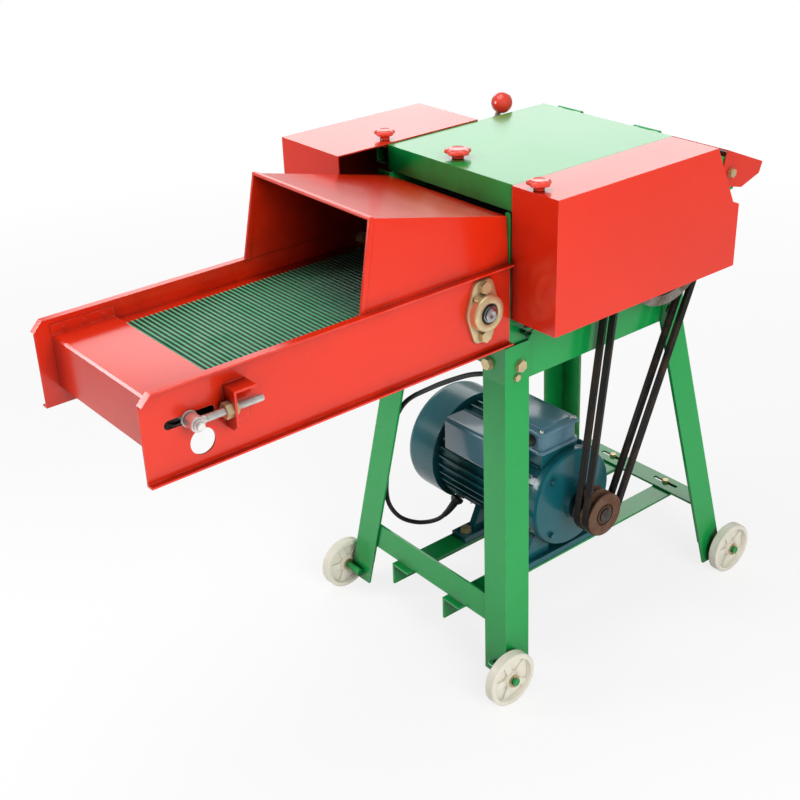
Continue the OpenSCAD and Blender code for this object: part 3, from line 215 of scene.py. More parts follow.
def sweep(bm, path, section, closed=False, start_side=(0, 0, 1)):
    """Carries a closed section of (side, up) metres along a path of points."""
    count = len(path)
    side = Vector(start_side)
    rings = []
    for i, point in enumerate(path):
        after = path[(i + 1) % count] if closed else path[min(i + 1, count - 1)]
        before = path[i - 1] if closed or i else path[0]
        along = (after - before).normalized()
        side = (side - side.dot(along) * along).normalized()
        out = along.cross(side)
        rings.append([bm.verts.new(point + s * side + u * out) for s, u in section])
    pairs = list(zip(rings, rings[1:]))
    if closed:
        pairs.append((rings[-1], rings[0]))
    for low, high in pairs:
        for j in range(len(section)):
            k = (j + 1) % len(section)
            bm.faces.new((low[j], low[k], high[k], high[j]))
    if not closed:
        bm.faces.new(rings[0])
        bm.faces.new(rings[-1])
    return rings


def round_section(radius, sides=12):
    return [(radius * math.cos(math.tau * i / sides), radius * math.sin(math.tau * i / sides))
            for i in range(sides)]


def smooth_path(points, steps=8):
    """Catmull-Rom curve through the points."""
    ends = [points[0], *points, points[-1]]
    path = []
    for a, b, c, d in zip(ends, ends[1:], ends[2:], ends[3:]):
        for i in range(steps):
            t = i / steps
            path.append(0.5 * (2 * b + (c - a) * t + (2 * a - 5 * b + 4 * c - d) * t * t
                               + (3 * b - a - 3 * c + d) * t ** 3))
    return path + [points[-1]]


print("mesh helpers ready")

# %% [markdown]
# ## The power cord
#
# The motor's lead leaves the left side of its body, swings out in a wide loop
# past the left legs, crosses over the motor and comes down behind the front
# leg. What the photograph doesn't show lies on the floor behind that leg as
# a coil with the plug on top. A cord is stiff for its size, so no bend is
# tighter than about four diameters.

# %% Cord route
CORD_DIAMETER = 8
CORD_ROUTE = [
    (-118, 110, 137), (-120, 104, 129), (-126, 96, 116), (-137, 86, 102), (-152, 73, 94),
    (-165, 54, 96), (-171, 28, 114), (-170, 6, 145), (-165, -6, 180), (-157, -10, 225),
    (-151, -10, 269), (-143, -9, 304), (-135, -7, 334), (-125, -4, 357), (-112, -1, 377),
    (-93, 1, 395), (-71, 1, 411), (-48, 1, 427), (-26, 2, 442), (5, 5, 461), (30, 9, 475),
    (50, 12, 483.5), (63, 15, 486.6), (76, 17, 484.2), (87, 19, 477), (94, 21, 466),
    (96.7, 22, 453), (97.5, 24, 420), (98.5, 29, 370), (100, 33, 300), (100, 34, 220),
    (100, 34, 140), (100, 34, 80), (100, 34, 56), (100, 34, 38), (98, 36, 25),
    (92.5, 41, 14), (84.5, 48, 6.7), (75, 57, 4.1), (60, 70, 4.1), (40, 87, 4.1),
    (18, 106, 4.1), (-14, 135, 4.1), (-42, 162, 4.1), (-66, 186.5, 4.1), (-85, 208, 4.1),
    (-98, 229, 4.1), (-106.5, 251, 4.1), (-110, 272, 4.1), (-110, 288.6, 4.1),
]


def coil_turns():
    """Four turns, each on the one below, and the end that lies across them."""
    turns = []
    for i in range(1, 128):
        angle = math.radians(i * 12)
        radius = 46 + 1.5 * math.sin(angle * 0.45)
        turns.append((-156 + radius * math.cos(angle), 289 + radius * math.sin(angle), 4.1 + i * 0.284))
    for degrees in range(100, 181, 16):
        angle = math.radians(degrees)
        turns.append((-154.7 + 33 * math.cos(angle), 301 + 33 * math.sin(angle),
                      40.6 + (degrees - 84) / 9.4))
    return turns + [(-187.7, 285, 52.2), (-187.7, 270.4, 52.6)]


cord_points = [mm(*p) for p in CORD_ROUTE + coil_turns()]
cord_path = smooth_path(cord_points, steps=5)
bm = bmesh.new()
sweep(bm, cord_path, round_section(CORD_DIAMETER / 2000, 14))
mains_lead = make_piece("mains_lead", bm, "frame", 80)
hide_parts("power_cord", "cord_coil")
print("cord length", round(sum((b - a).length for a, b in zip(cord_path, cord_path[1:])), 3))

# %% [markdown]
# ## The plug
#
# A round two-pin plug with a moulded body: a ribbed sleeve holds the cord,
# the grip swells behind a flange and two pins stand out of its face. It is
# turned in one go, and the pins have rounded tips.

# %% Plug
PLUG_AT = mm(-187.7, 0, 52.6)


def plug_point(y):
    return PLUG_AT + Vector((0, y / 1000, 0))


bm = bmesh.new()
grip = [(0, 234), (15.4, 234), (16.8, 235.2), (17, 237), (16.2, 238.6), (13.4, 239.6),
        (12.4, 243), (12.9, 250), (12.2, 257), (9.4, 262)]
sleeve = []
for ring in range(3):
    y = 262.6 + ring * 2.4
    sleeve += [(7.6 - ring * 0.5, y), (7.6 - ring * 0.5, y + 1.2), (6.4 - ring * 0.4, y + 1.7),
               (6.4 - ring * 0.4, y + 2.2)]
lathe(bm, grip + sleeve + [(4.4, 269.9), (0, 270)], PLUG_AT, axis=(0, 1, 0), steps=40)
plug_body = make_piece("plug_body", bm, "frame", 35)
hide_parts("plug")
bm = bmesh.new()
for side in (-8, 8):
    pin = [(0, 216), (1.6, 216), (2.3, 217), (2.4, 219), (2.4, 235)]
    lathe(bm, pin, PLUG_AT + Vector((side / 1000, 0, 0)), axis=(0, 1, 0), steps=20)
plug_pins = make_piece("plug_pins", bm, "frame", 50)
print("plug at", tuple(round(v, 3) for v in plug_point(250)))

# %% [markdown]
# ## Effects that several finishes share
#
# Paint, zinc and rubber age in the same few ways: edges rub bright, dust and grease settle in corners, and a
# sprayed coat dries with a faint orange peel. The edge mask also lightens edges as a painted highlight, and the
# corner mask also darkens corners as painted shade; a further group paints deep shade in hollows. Each effect is
# one node group with named inputs, made once, and every material sets its own amounts.


# %% Node group tools
def new_group(name, inputs, outputs):
    group = bpy.data.node_groups.new(name, "ShaderNodeTree")
    for title, kind, value in inputs:
        socket = group.interface.new_socket(title, in_out="INPUT", socket_type=kind)
        socket.default_value = value
    for title, kind in outputs:
        group.interface.new_socket(title, in_out="OUTPUT", socket_type=kind)
    return group, group.nodes.new("NodeGroupInput").outputs, group.nodes.new("NodeGroupOutput").inputs


def add_node(tree, kind, inputs=None, **settings):
    """A node with its settings, and its inputs set to values or linked to sockets."""
    node = tree.nodes.new(kind)
    for name, value in settings.items():
        setattr(node, name, value)
    for name, value in (inputs or {}).items():
        if isinstance(value, bpy.types.NodeSocket):
            tree.links.new(value, node.inputs[name])
        else:
            node.inputs[name].default_value = value
    return node


def math_node(tree, operation, a, b=0.5):
    return add_node(tree, "ShaderNodeMath", {0: a, 1: b}, operation=operation, use_clamp=False).outputs[0]


def remap(tree, value, low, high, to_low=0.0, to_high=1.0):
    return add_node(tree, "ShaderNodeMapRange", {
        "Value": value, "From Min": low, "From Max": high, "To Min": to_low, "To Max": to_high,
    }).outputs["Result"]


def noise(tree, vector, scale, detail=4.0, roughness=0.6):
    return add_node(tree, "ShaderNodeTexNoise", {
        "Vector": vector, "Scale": scale, "Detail": detail, "Roughness": roughness,
    }).outputs["Fac"]


# %% Edge wear with painted highlight, dirt with painted shade in corners, deep shade and orange peel
# Edge mask: the bevel normal finds the edges and noise breaks them up. Where it is used, the colour turns lighter,
# partly as rubbed wear and partly as a painted highlight.
edge_wear_and_highlight, given, made = new_group("Edge wear and painted highlight", [
    ("Width", "NodeSocketFloat", 0.002), ("Amount", "NodeSocketFloat", 0.5),
], [("Mask", "NodeSocketFloat")])
rounded = add_node(edge_wear_and_highlight, "ShaderNodeBevel", {"Radius": given["Width"]}, samples=6)
flat = add_node(edge_wear_and_highlight, "ShaderNodeNewGeometry")
turned = add_node(edge_wear_and_highlight, "ShaderNodeVectorMath", {
    0: rounded.outputs["Normal"], 1: flat.outputs["Normal"]}, operation="DOT_PRODUCT")
bent = remap(edge_wear_and_highlight, turned.outputs["Value"], 0.985, 0.80)
where = add_node(edge_wear_and_highlight, "ShaderNodeTexCoord").outputs["Object"]
patches = remap(edge_wear_and_highlight, noise(edge_wear_and_highlight, where, 38.0), 0.42, 0.62)
wear_and_highlight = math_node(edge_wear_and_highlight, "MULTIPLY", math_node(edge_wear_and_highlight, "MULTIPLY", bent, patches), given["Amount"])
edge_wear_and_highlight.links.new(wear_and_highlight, made["Mask"])

# Corner mask from ambient occlusion: it darkens corners, creases and gaps, partly as dirt and partly as painted
# shade.
dirt_and_shade_in_corners, given, made = new_group("Dirt and painted shade in corners", [
    ("Reach", "NodeSocketFloat", 0.02), ("Amount", "NodeSocketFloat", 0.5),
], [("Mask", "NodeSocketFloat")])
open_sky = add_node(dirt_and_shade_in_corners, "ShaderNodeAmbientOcclusion", {"Distance": given["Reach"]}, samples=8)
where = add_node(dirt_and_shade_in_corners, "ShaderNodeTexCoord").outputs["Object"]
cloud = remap(dirt_and_shade_in_corners, noise(dirt_and_shade_in_corners, where, 17.0, 6.0), 0.25, 0.75, 0.35, 1.0)
shut = remap(dirt_and_shade_in_corners, open_sky.outputs["AO"], 1.0, 0.35)
dirt_and_shade = math_node(dirt_and_shade_in_corners, "MULTIPLY", math_node(dirt_and_shade_in_corners, "MULTIPLY", shut, cloud), given["Amount"])
dirt_and_shade_in_corners.links.new(dirt_and_shade, made["Mask"])

deep_shade, given, made = new_group("Deep shade in a hollow", [
    ("Reach", "NodeSocketFloat", 0.3), ("Amount", "NodeSocketFloat", 0.9),
], [("Mask", "NodeSocketFloat")])
open_sky = add_node(deep_shade, "ShaderNodeAmbientOcclusion", {"Distance": given["Reach"]}, samples=8)
shut = remap(deep_shade, open_sky.outputs["AO"], 0.50, 0.26)
deep_shade.links.new(math_node(deep_shade, "MULTIPLY", shut, given["Amount"]), made["Mask"])

sprayed, given, made = new_group("Sprayed coat", [
    ("Peel size", "NodeSocketFloat", 700.0), ("Peel depth", "NodeSocketFloat", 0.02),
    ("Waviness", "NodeSocketFloat", 0.05), ("Smooth", "NodeSocketFloat", 0.20),
    ("Dull", "NodeSocketFloat", 0.27),
], [("Shade", "NodeSocketFloat"), ("Roughness", "NodeSocketFloat"), ("Normal", "NodeSocketVector")])
where = add_node(sprayed, "ShaderNodeTexCoord").outputs["Object"]
peel = noise(sprayed, where, given["Peel size"], 2.0, 0.5)
waves = noise(sprayed, where, 9.0, 2.0, 0.5)
fine = add_node(sprayed, "ShaderNodeBump", {
    "Strength": given["Peel depth"], "Distance": 0.0006, "Height": peel})
broad = add_node(sprayed, "ShaderNodeBump", {
    "Strength": given["Waviness"], "Distance": 0.004, "Height": waves,
    "Normal": fine.outputs["Normal"]})
blotch = noise(sprayed, where, 5.0, 5.0, 0.55)
rubbed = noise(sprayed, where, 60.0, 6.0, 0.7)
sheen = remap(sprayed, math_node(sprayed, "ADD", math_node(sprayed, "MULTIPLY", blotch, 0.8),
                                 math_node(sprayed, "MULTIPLY", rubbed, 0.2)), 0.3, 0.7)
rough = add_node(sprayed, "ShaderNodeMix", {0: sheen, 2: given["Smooth"], 3: given["Dull"]}).outputs[0]
sprayed.links.new(remap(sprayed, blotch, 0.3, 0.7), made["Shade"])
sprayed.links.new(rough, made["Roughness"])
sprayed.links.new(broad.outputs["Normal"], made["Normal"])
print("groups", [g.name for g in bpy.data.node_groups])

# %% [markdown]
# ## Paint
#
# All the sheet metal is sprayed with a glossy enamel: one red for what
# covers and carries the straw, one green for what carries the load, and the
# maker of the motor used a dark teal. A clear coat over a slightly rougher
# base gives the wet look of enamel, with softer patches where it dried dull.


# %% Enamel materials
def group_node(tree, group, **inputs):
    node = tree.nodes.new("ShaderNodeGroup")
    node.node_tree = group
    for name, value in inputs.items():
        node.inputs[name.replace("_", " ").capitalize()].default_value = value
    return node


def mix_colour(tree, factor, a, b):
    node = tree.nodes.new("ShaderNodeMix")
    node.data_type = "RGBA"
    for socket, value in ((node.inputs[0], factor), (node.inputs[6], a), (node.inputs[7], b)):
        if isinstance(value, bpy.types.NodeSocket):
            tree.links.new(value, socket)
        else:
            socket.default_value = value
    return node.outputs[2]


def rgb(red, green, blue):
    return (red, green, blue, 1.0)


def tinted(colour, factor):
    return rgb(*(min(1.0, channel * factor) for channel in colour[:3]))


def new_material(name):
    material = bpy.data.materials.new(name)
    material.use_nodes = True
    shader = material.node_tree.nodes["Principled BSDF"]
    return material, material.node_tree, shader


def enamel(name, colour, wear=0.25, dirt_and_shade=0.45, wear_and_highlight_colour=(0.5, 0.47, 0.44), coat=0.35, dull=0.27, peel=0.02,
           wide_shade_amount=0.75, hollow=0.95):
    material, tree, shader = new_material(name)
    coat_of_paint = group_node(tree, sprayed, dull=dull, peel_depth=peel)
    # The edge mask mixes in a lighter colour along the edges: rubbed wear and a painted highlight.
    rubbed = group_node(tree, edge_wear_and_highlight, width=0.0016, amount=wear)
    # Painted shade: the corner mask darkens corners (with dirt), the wide one darkens sheltered faces to about a
    # fifth of the colour, and the deep one darkens the inside of hollows nearly to black.
    corner_dirt_and_shade = group_node(tree, dirt_and_shade_in_corners, reach=0.022, amount=dirt_and_shade)
    wide_hollow_shade = group_node(tree, dirt_and_shade_in_corners, reach=0.22, amount=wide_shade_amount)
    shade = mix_colour(tree, coat_of_paint.outputs["Shade"], tinted(colour, 0.95), tinted(colour, 1.04))
    shaded = mix_colour(tree, wide_hollow_shade.outputs["Mask"], shade, tinted(colour, 0.22))
    deep = group_node(tree, deep_shade, reach=0.18, amount=hollow)
    shaded = mix_colour(tree, deep.outputs["Mask"], shaded, tinted(colour, 0.05))
    with_dirt_and_shade = mix_colour(tree, corner_dirt_and_shade.outputs["Mask"], shaded, tinted(colour, 0.30))
    wear_and_highlight = mix_colour(tree, rubbed.outputs["Mask"], with_dirt_and_shade, rgb(*wear_and_highlight_colour))
    tree.links.new(wear_and_highlight, shader.inputs["Base Color"])
    tree.links.new(coat_of_paint.outputs["Roughness"], shader.inputs["Roughness"])
    tree.links.new(coat_of_paint.outputs["Normal"], shader.inputs["Normal"])
    shader.inputs["Coat Weight"].default_value = coat
    shader.inputs["Coat Roughness"].default_value = 0.13
    shader.inputs["Specular IOR Level"].default_value = 0.38
    return material


RED = rgb(0.79, 0.027, 0.005)
GREEN = rgb(0.003, 0.36, 0.070)
TEAL = rgb(0.008, 0.135, 0.165)
BOX_BLUE = rgb(0.105, 0.235, 0.315)
red_enamel = enamel("red_enamel", RED, wear=0.30, wear_and_highlight_colour=(0.86, 0.42, 0.36))
green_enamel = enamel("green_enamel", GREEN, wear=0.25, wear_and_highlight_colour=(0.35, 0.62, 0.42))
motor_enamel = enamel("motor_enamel", TEAL, wear=0.35, wear_and_highlight_colour=(0.16, 0.30, 0.33), coat=0.3, peel=0.10,
                      hollow=0.4)
box_enamel = enamel("box_enamel", BOX_BLUE, wear=0.45, wear_and_highlight_colour=(0.30, 0.42, 0.50), coat=0.3, peel=0.06,
                    hollow=0.4)
grey_enamel = enamel("grey_enamel", rgb(0.10, 0.105, 0.11), coat=0.15, peel=0.2)
gearbox_enamel = enamel("gearbox_enamel", rgb(0.008, 0.16, 0.06), coat=0.3, peel=0.25, dirt_and_shade=0.6)
print("enamels made")

# %% [markdown]
# ## Bare and plated metal
#
# The bearings and bolts are zinc plated and passivated, which leaves a thin yellow film with pink and green
# patches. Shafts and the adjuster rods are bright zinc. The pulleys are raw castings: one has rusted to a brown
# skin and both are turned smooth on the rim. Their finish has grains and a skin of rust.


# %% Metals
def plated(name, colour, patch, roughness=(0.22, 0.42), dirt_and_shade=0.6, metallic=1.0):
    material, tree, shader = new_material(name)
    where = add_node(tree, "ShaderNodeTexCoord").outputs["Object"]
    film = remap(tree, noise(tree, where, 55.0, 5.0, 0.6), 0.38, 0.66)
    pits = noise(tree, where, 1400.0, 3.0, 0.6)
    # Corner mask: dirt and painted shade darken corners towards near black.
    corner_dirt_and_shade = group_node(tree, dirt_and_shade_in_corners, reach=0.008, amount=dirt_and_shade)
    shade = mix_colour(tree, film, rgb(*colour), rgb(*patch))
    with_dirt_and_shade = mix_colour(tree, corner_dirt_and_shade.outputs["Mask"], shade, rgb(0.05, 0.04, 0.03))
    tree.links.new(with_dirt_and_shade, shader.inputs["Base Color"])
    tree.links.new(remap(tree, film, 0.0, 1.0, *roughness), shader.inputs["Roughness"])
    bump = add_node(tree, "ShaderNodeBump", {"Strength": 0.12, "Distance": 0.0004, "Height": pits})
    tree.links.new(bump.outputs["Normal"], shader.inputs["Normal"])
    shader.inputs["Metallic"].default_value = metallic
    return material


def turned_iron(name, colour, rust, metallic=0.35, rust_amount=0.6):
    """Cast iron turned on a lathe: dull grains and a skin of rust."""
    material, tree, shader = new_material(name)
    where = add_node(tree, "ShaderNodeTexCoord").outputs["Object"]
    grains = noise(tree, where, 260.0, 6.0, 0.7)
    skin = remap(tree, noise(tree, where, 42.0, 6.0, 0.65), 0.5 - rust_amount * 0.3, 0.62)
    # Corner mask: dirt and painted shade darken corners almost to black.
    corner_dirt_and_shade = group_node(tree, dirt_and_shade_in_corners, reach=0.012, amount=0.8)
    shade = mix_colour(tree, skin, rgb(*colour), rgb(*rust))
    speckled = mix_colour(tree, remap(tree, grains, 0.45, 0.75, 0.0, 0.5), shade, tinted(rust, 0.5))
    with_dirt_and_shade = mix_colour(tree, corner_dirt_and_shade.outputs["Mask"], speckled, rgb(0.015, 0.011, 0.009))
    # Edge mask: rubbed edges and a painted highlight, in a lighter copy of the iron's colour.
    rubbed = group_node(tree, edge_wear_and_highlight, width=0.0012, amount=0.6)
    wear_and_highlight = mix_colour(tree, rubbed.outputs["Mask"], with_dirt_and_shade, tinted(colour, 1.9))
    tree.links.new(wear_and_highlight, shader.inputs["Base Color"])
    tree.links.new(remap(tree, skin, 0.0, 1.0, 0.38, 0.75), shader.inputs["Roughness"])
    bump = add_node(tree, "ShaderNodeBump", {"Strength": 0.35, "Distance": 0.0006, "Height": grains})
    tree.links.new(bump.outputs["Normal"], shader.inputs["Normal"])
    shader.inputs["Metallic"].default_value = metallic
    return material


gold_zinc = plated("gold_zinc", (0.83, 0.66, 0.36), (0.72, 0.57, 0.36), roughness=(0.34, 0.5), metallic=0.8)
bright_zinc = plated("bright_zinc", (0.92, 0.91, 0.88), (0.80, 0.79, 0.76), roughness=(0.28, 0.45),
                     metallic=0.75)
ground_steel = plated("ground_steel", (0.50, 0.50, 0.50), (0.38, 0.38, 0.39), roughness=(0.2, 0.4))
brown_iron = turned_iron("brown_iron", (0.16, 0.085, 0.05), (0.13, 0.058, 0.03), 0.2)
grey_iron = turned_iron("grey_iron", (0.30, 0.28, 0.25), (0.17, 0.12, 0.08), 0.5, 0.4)
dark_iron = turned_iron("dark_iron", (0.09, 0.09, 0.092), (0.06, 0.045, 0.036), 0.5, 0.3)
print("metals made")

# %% [markdown]
# ## Rubber and plastic
#
# The feed belt is green rubber with straw dust rubbed into it; its rib crests are painted paler, partly as that
# dust and partly as a highlight, and its grooves get painted shade. The drive belts are black and polished by the
# pulleys, with a brownish bloom where the fabric shows and edges painted a little lighter as wear and highlight.
# The wheels are nylon, slightly translucent and yellowed.


# %% Rubber and plastic materials
def moulded(name, colour, roughness, bump=0.1, grain=700.0, patch=0.85, dirt_and_shade=0.5, coat=0.0, glow=0.0):
    material, tree, shader = new_material(name)
    where = add_node(tree, "ShaderNodeTexCoord").outputs["Object"]
    cloud = remap(tree, noise(tree, where, 24.0, 5.0, 0.6), 0.32, 0.68)
    skin = noise(tree, where, grain, 3.0, 0.6)
    # Corner mask: dirt and painted shade darken corners and gaps.
    corner_dirt_and_shade = group_node(tree, dirt_and_shade_in_corners, reach=0.012, amount=dirt_and_shade)
    shade = mix_colour(tree, cloud, rgb(*colour), tinted(colour, patch))
    with_dirt_and_shade = mix_colour(tree, corner_dirt_and_shade.outputs["Mask"], shade, tinted(colour, 0.35))
    tree.links.new(with_dirt_and_shade, shader.inputs["Base Color"])
    tree.links.new(remap(tree, cloud, 0.0, 1.0, roughness * 0.85, roughness * 1.2),
                   shader.inputs["Roughness"])
    bumped = add_node(tree, "ShaderNodeBump", {"Strength": bump, "Distance": 0.0005, "Height": skin})
    tree.links.new(bumped.outputs["Normal"], shader.inputs["Normal"])
    shader.inputs["Coat Weight"].default_value = coat
    shader.inputs["Subsurface Weight"].default_value = glow
    shader.inputs["Subsurface Radius"].default_value = (0.004, 0.003, 0.002)
    return material


def belt_rubber(name, colour, crest, crest_width, roughness, bloom=None, bloom_size=30.0, ribbed=False):
    """Rubber whose crests are rubbed paler and also painted with a highlight, with patches of bloom and painted
    shade in grooves and hollows.

    A ribbed belt carries its crest mask in its mesh, as a vertex attribute.
    """
    material, tree, shader = new_material(name)
    where = add_node(tree, "ShaderNodeTexCoord").outputs["Object"]
    # The crest mask: rubbing and a painted highlight.
    if ribbed:
        wear_and_highlight = add_node(tree, "ShaderNodeAttribute", attribute_name="crest_rub_and_highlight").outputs["Fac"]
    else:
        wear_and_highlight = group_node(tree, edge_wear_and_highlight, width=crest_width, amount=1.0).outputs["Mask"]
    # Painted shade: the corner mask darkens the grooves (with dirt), and the deep one darkens the belt inside the
    # hood.
    corner_dirt_and_shade = group_node(tree, dirt_and_shade_in_corners, reach=0.006, amount=0.9)
    cloud = remap(tree, noise(tree, where, bloom_size, 6.0, 0.65), 0.48, 0.66)
    shade = mix_colour(tree, cloud, rgb(*colour), rgb(*(bloom or colour)))
    crested = mix_colour(tree, wear_and_highlight, shade, rgb(*crest))
    with_dirt_and_shade = mix_colour(tree, corner_dirt_and_shade.outputs["Mask"], crested, tinted(colour, 0.2))
    deep = group_node(tree, deep_shade, reach=0.18, amount=0.85)
    shaded = mix_colour(tree, deep.outputs["Mask"], with_dirt_and_shade, tinted(colour, 0.1))
    tree.links.new(shaded, shader.inputs["Base Color"])
    grain = noise(tree, where, 900.0, 4.0, 0.7)
    tree.links.new(remap(tree, cloud, 0.0, 1.0, roughness, roughness * 1.5), shader.inputs["Roughness"])
    bumped = add_node(tree, "ShaderNodeBump", {"Strength": 0.2, "Distance": 0.0005, "Height": grain})
    tree.links.new(bumped.outputs["Normal"], shader.inputs["Normal"])
    return material


feed_rubber = belt_rubber("feed_rubber", (0.006, 0.055, 0.026), (0.10, 0.44, 0.22), 0.0014, 0.5,
                          bloom=(0.010, 0.075, 0.036), ribbed=True)
drive_rubber = belt_rubber("drive_rubber", (0.012, 0.011, 0.010), (0.05, 0.04, 0.035), 0.0012, 0.42,
                           bloom=(0.045, 0.026, 0.017), bloom_size=22.0)
drive_rubber.node_tree.nodes["Principled BSDF"].inputs["Specular IOR Level"].default_value = 0.25
cord_rubber = moulded("cord_rubber", (0.010, 0.010, 0.011), 0.42, bump=0.15)
black_plastic = moulded("black_plastic", (0.016, 0.016, 0.017), 0.38, bump=0.12)
red_plastic = moulded("red_plastic", (0.78, 0.05, 0.025), 0.24, bump=0.03, patch=0.94, coat=0.5, dirt_and_shade=0.35)
cream_nylon = moulded("cream_nylon", (0.84, 0.80, 0.68), 0.42, bump=0.08, patch=0.93, dirt_and_shade=0.55, glow=0.08)
print("materials", len(bpy.data.materials))

# %% [markdown]
# ## Finish of each part of the frame
#
# The frame's own parts keep their shape. They get their finish here, and a
# bevel modifier rounds their edges, because no sheet edge or casting is
# sharp: the light line along an edge is what makes painted steel look like
# painted steel. Sheet is rounded by less than half its thickness.

# %% Dressing the frame's parts
FINISH = {
    red_enamel: "tray_side_right tray_side_left tray_deck feed_hood belt_guard gear_cover deflector",
    green_enamel: "leg_front_right leg_front_left leg_rear_right leg_rear_left front_cross_beam "
                  "front_brace rear_brace motor_rails side_plate_left rotor_housing lid",
    grey_enamel: "blade_bed knife_drum roller_arms",
    gearbox_enamel: "gearbox",
    motor_enamel: "motor_body motor_end_bell fan_cowl",
    gold_zinc: "frame_bolts",
    bright_zinc: "clutch_lever",
    ground_steel: "fixed_blade knives main_shaft idler_gear output_gear",
    dark_iron: "motor_shaft conveyor_drive_roller idler_roller lower_feed_roller upper_feed_roller",
    brown_iron: "motor_pulley",
    grey_iron: "large_pulley",
    black_plastic: "cooling_fan",
    red_plastic: "lever_ball",
    cream_nylon: "wheel_front_right wheel_front_left wheel_rear_right wheel_rear_left",
}
EDGE_RADIUS = {
    "feed_hood": 0.9, "belt_guard": 0.9, "gear_cover": 0.9, "lid": 0.9, "deflector": 0.9,
    "tray_side_right": 0.9, "tray_side_left": 0.9, "tray_deck": 0.9,
    "motor_body": 0.5, "motor_end_bell": 0.8, "frame_bolts": 0.3, "motor_pulley": 0.5,
    "large_pulley": 0.6, "wheel_front_right": 0.5, "wheel_front_left": 0.5,
    "wheel_rear_right": 0.5, "wheel_rear_left": 0.5, "lever_ball": 0, "conveyor_drive_roller": 0,
    "idler_roller": 0, "lower_feed_roller": 0, "upper_feed_roller": 0, "knives": 0.2,
}


def soften(node, width_mm):
    """Rounds a part's sharp edges with a narrow bevel."""
    weld = node.modifiers.new("weld", "WELD")
    weld.merge_threshold = 0.00001
    joined = node.modifiers.new("flat faces joined", "DECIMATE")
    joined.decimate_type = "DISSOLVE"
    joined.angle_limit = math.radians(0.4)
    bevel = node.modifiers.new("rounded edges", "BEVEL")
    bevel.width = width_mm / 1000
    bevel.segments = 2
    bevel.limit_method = "ANGLE"
    bevel.angle_limit = math.radians(38)
    bevel.harden_normals = False
    normals = node.modifiers.new("flat faces stay flat", "WEIGHTED_NORMAL")
    normals.keep_sharp = False


for material, names in FINISH.items():
    for name in names.split():
        node = frame["nodes"][name]
        node.data.materials.clear()
        node.data.materials.append(material)
        width = EDGE_RADIUS.get(name, 0.7)
        if width:
            soften(node, width)
print("dressed", sum(len(names.split()) for names in FINISH.values()), "parts")

# %% Finishes of the pieces made so far
def dress(piece, material):
    piece.data.materials.clear()
    piece.data.materials.append(material)
    return piece


dress(mains_lead, cord_rubber)
dress(plug_body, black_plastic)
dress(plug_pins, bright_zinc)

# %% [markdown]
# ## The drive belts
#
# Two wrapped V-belts run side by side from the motor to the rotor. Each is a
# closed loop: an arc round each pulley and the two tangents between them.
# The pulleys' boxes give the radii and the middles, so the loop is worked
# out, not drawn. The section is a trapezium with rounded corners, because a
# sharp one would look like a strap cut from sheet.

# %% Drive belts
BELT_WIDTH, BELT_DEPTH, BELT_PROUD = 12.5, 8, 1.3
GROOVES = (17, -1)


def pulley_circle(node):
    """Middle and outer radius of a pulley that turns about X."""
    low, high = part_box(node)
    return (low + high) / 2, (high.z - low.z) / 2


def belt_loop(small, small_r, large, large_r, x, run_steps=24, arc_steps=40):
    """Closed path round two pulleys in the plane across X."""
    gap = Vector((0, large.y - small.y, large.z - small.z))
    lean = math.atan2(gap.z, gap.y)
    wrap = math.asin((large_r - small_r) / gap.length)
    path = []

    def add_arc(middle, radius, start, end):
        for i in range(arc_steps + 1):
            a = start + (end - start) * i / arc_steps
            path.append(Vector((x, middle.y + radius * math.cos(a), middle.z + radius * math.sin(a))))

    def add_run(goal):
        begin = path[-1].copy()
        path.extend(begin.lerp(goal, i / run_steps) for i in range(1, run_steps))

    quarter = math.pi / 2
    add_arc(small, small_r, lean + quarter + wrap, lean + 3 * quarter - wrap)
    a = lean - quarter - wrap
    add_run(Vector((x, large.y + large_r * math.cos(a), large.z + large_r * math.sin(a))))
    add_arc(large, large_r, a, lean + quarter + wrap)
    add_run(path[0])
    return path


def wedge_section(width, depth, slope_degrees=17, corner=1.1, steps=4):
    """Rounded trapezium, wide side at height 0, in metres."""
    narrow = width / 2 - depth * math.tan(math.radians(slope_degrees))
    corners = [(width / 2, 0), (width / 2 - 0.35, -1.2), (narrow, -depth), (-narrow, -depth),
               (-width / 2 + 0.35, -1.2), (-width / 2, 0)]
    points = []
    for i, (s, u) in enumerate(corners):
        before, after = Vector(corners[i - 1]), Vector(corners[(i + 1) % 6])
        here = Vector((s, u))
        reach = min(corner, (before - here).length / 2, (after - here).length / 2)
        start = here + (before - here).normalized() * reach
        end = here + (after - here).normalized() * reach
        for k in range(steps + 1):
            t = k / steps
            points.append(start * (1 - t) ** 2 + here * 2 * t * (1 - t) + end * t ** 2)
    return [(p.x / 1000, p.y / 1000) for p in points]


small, small_r = pulley_circle("motor_pulley")
large, large_r = pulley_circle("large_pulley")
bm = bmesh.new()
for groove in GROOVES:
    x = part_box("motor_pulley")[1].x - (9 if groove < 0 else 27) / 1000
    loop = belt_loop(small, small_r + BELT_PROUD / 1000, large, large_r + BELT_PROUD / 1000, x)
    sweep(bm, loop, wedge_section(BELT_WIDTH, BELT_DEPTH), closed=True, start_side=(1, 0, 0))
drive_belts = make_piece("drive_belts", bm, "frame", 50)
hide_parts("v_belts")
dress(drive_belts, drive_rubber)
print("belt loop", round(sum((b - a).length for a, b in zip(loop, loop[1:])), 3), "m")

# %% [markdown]
# ## The star knobs
#
# Three red knobs hold the lid and the side covers. Each is moulded round a
# stud: a low cap with five lobes, so that a gloved hand can turn it, on a
# narrower foot. The lathe helper takes a lobe depth per ring, which gives
# the round foot and the lobed cap in one closed mesh.

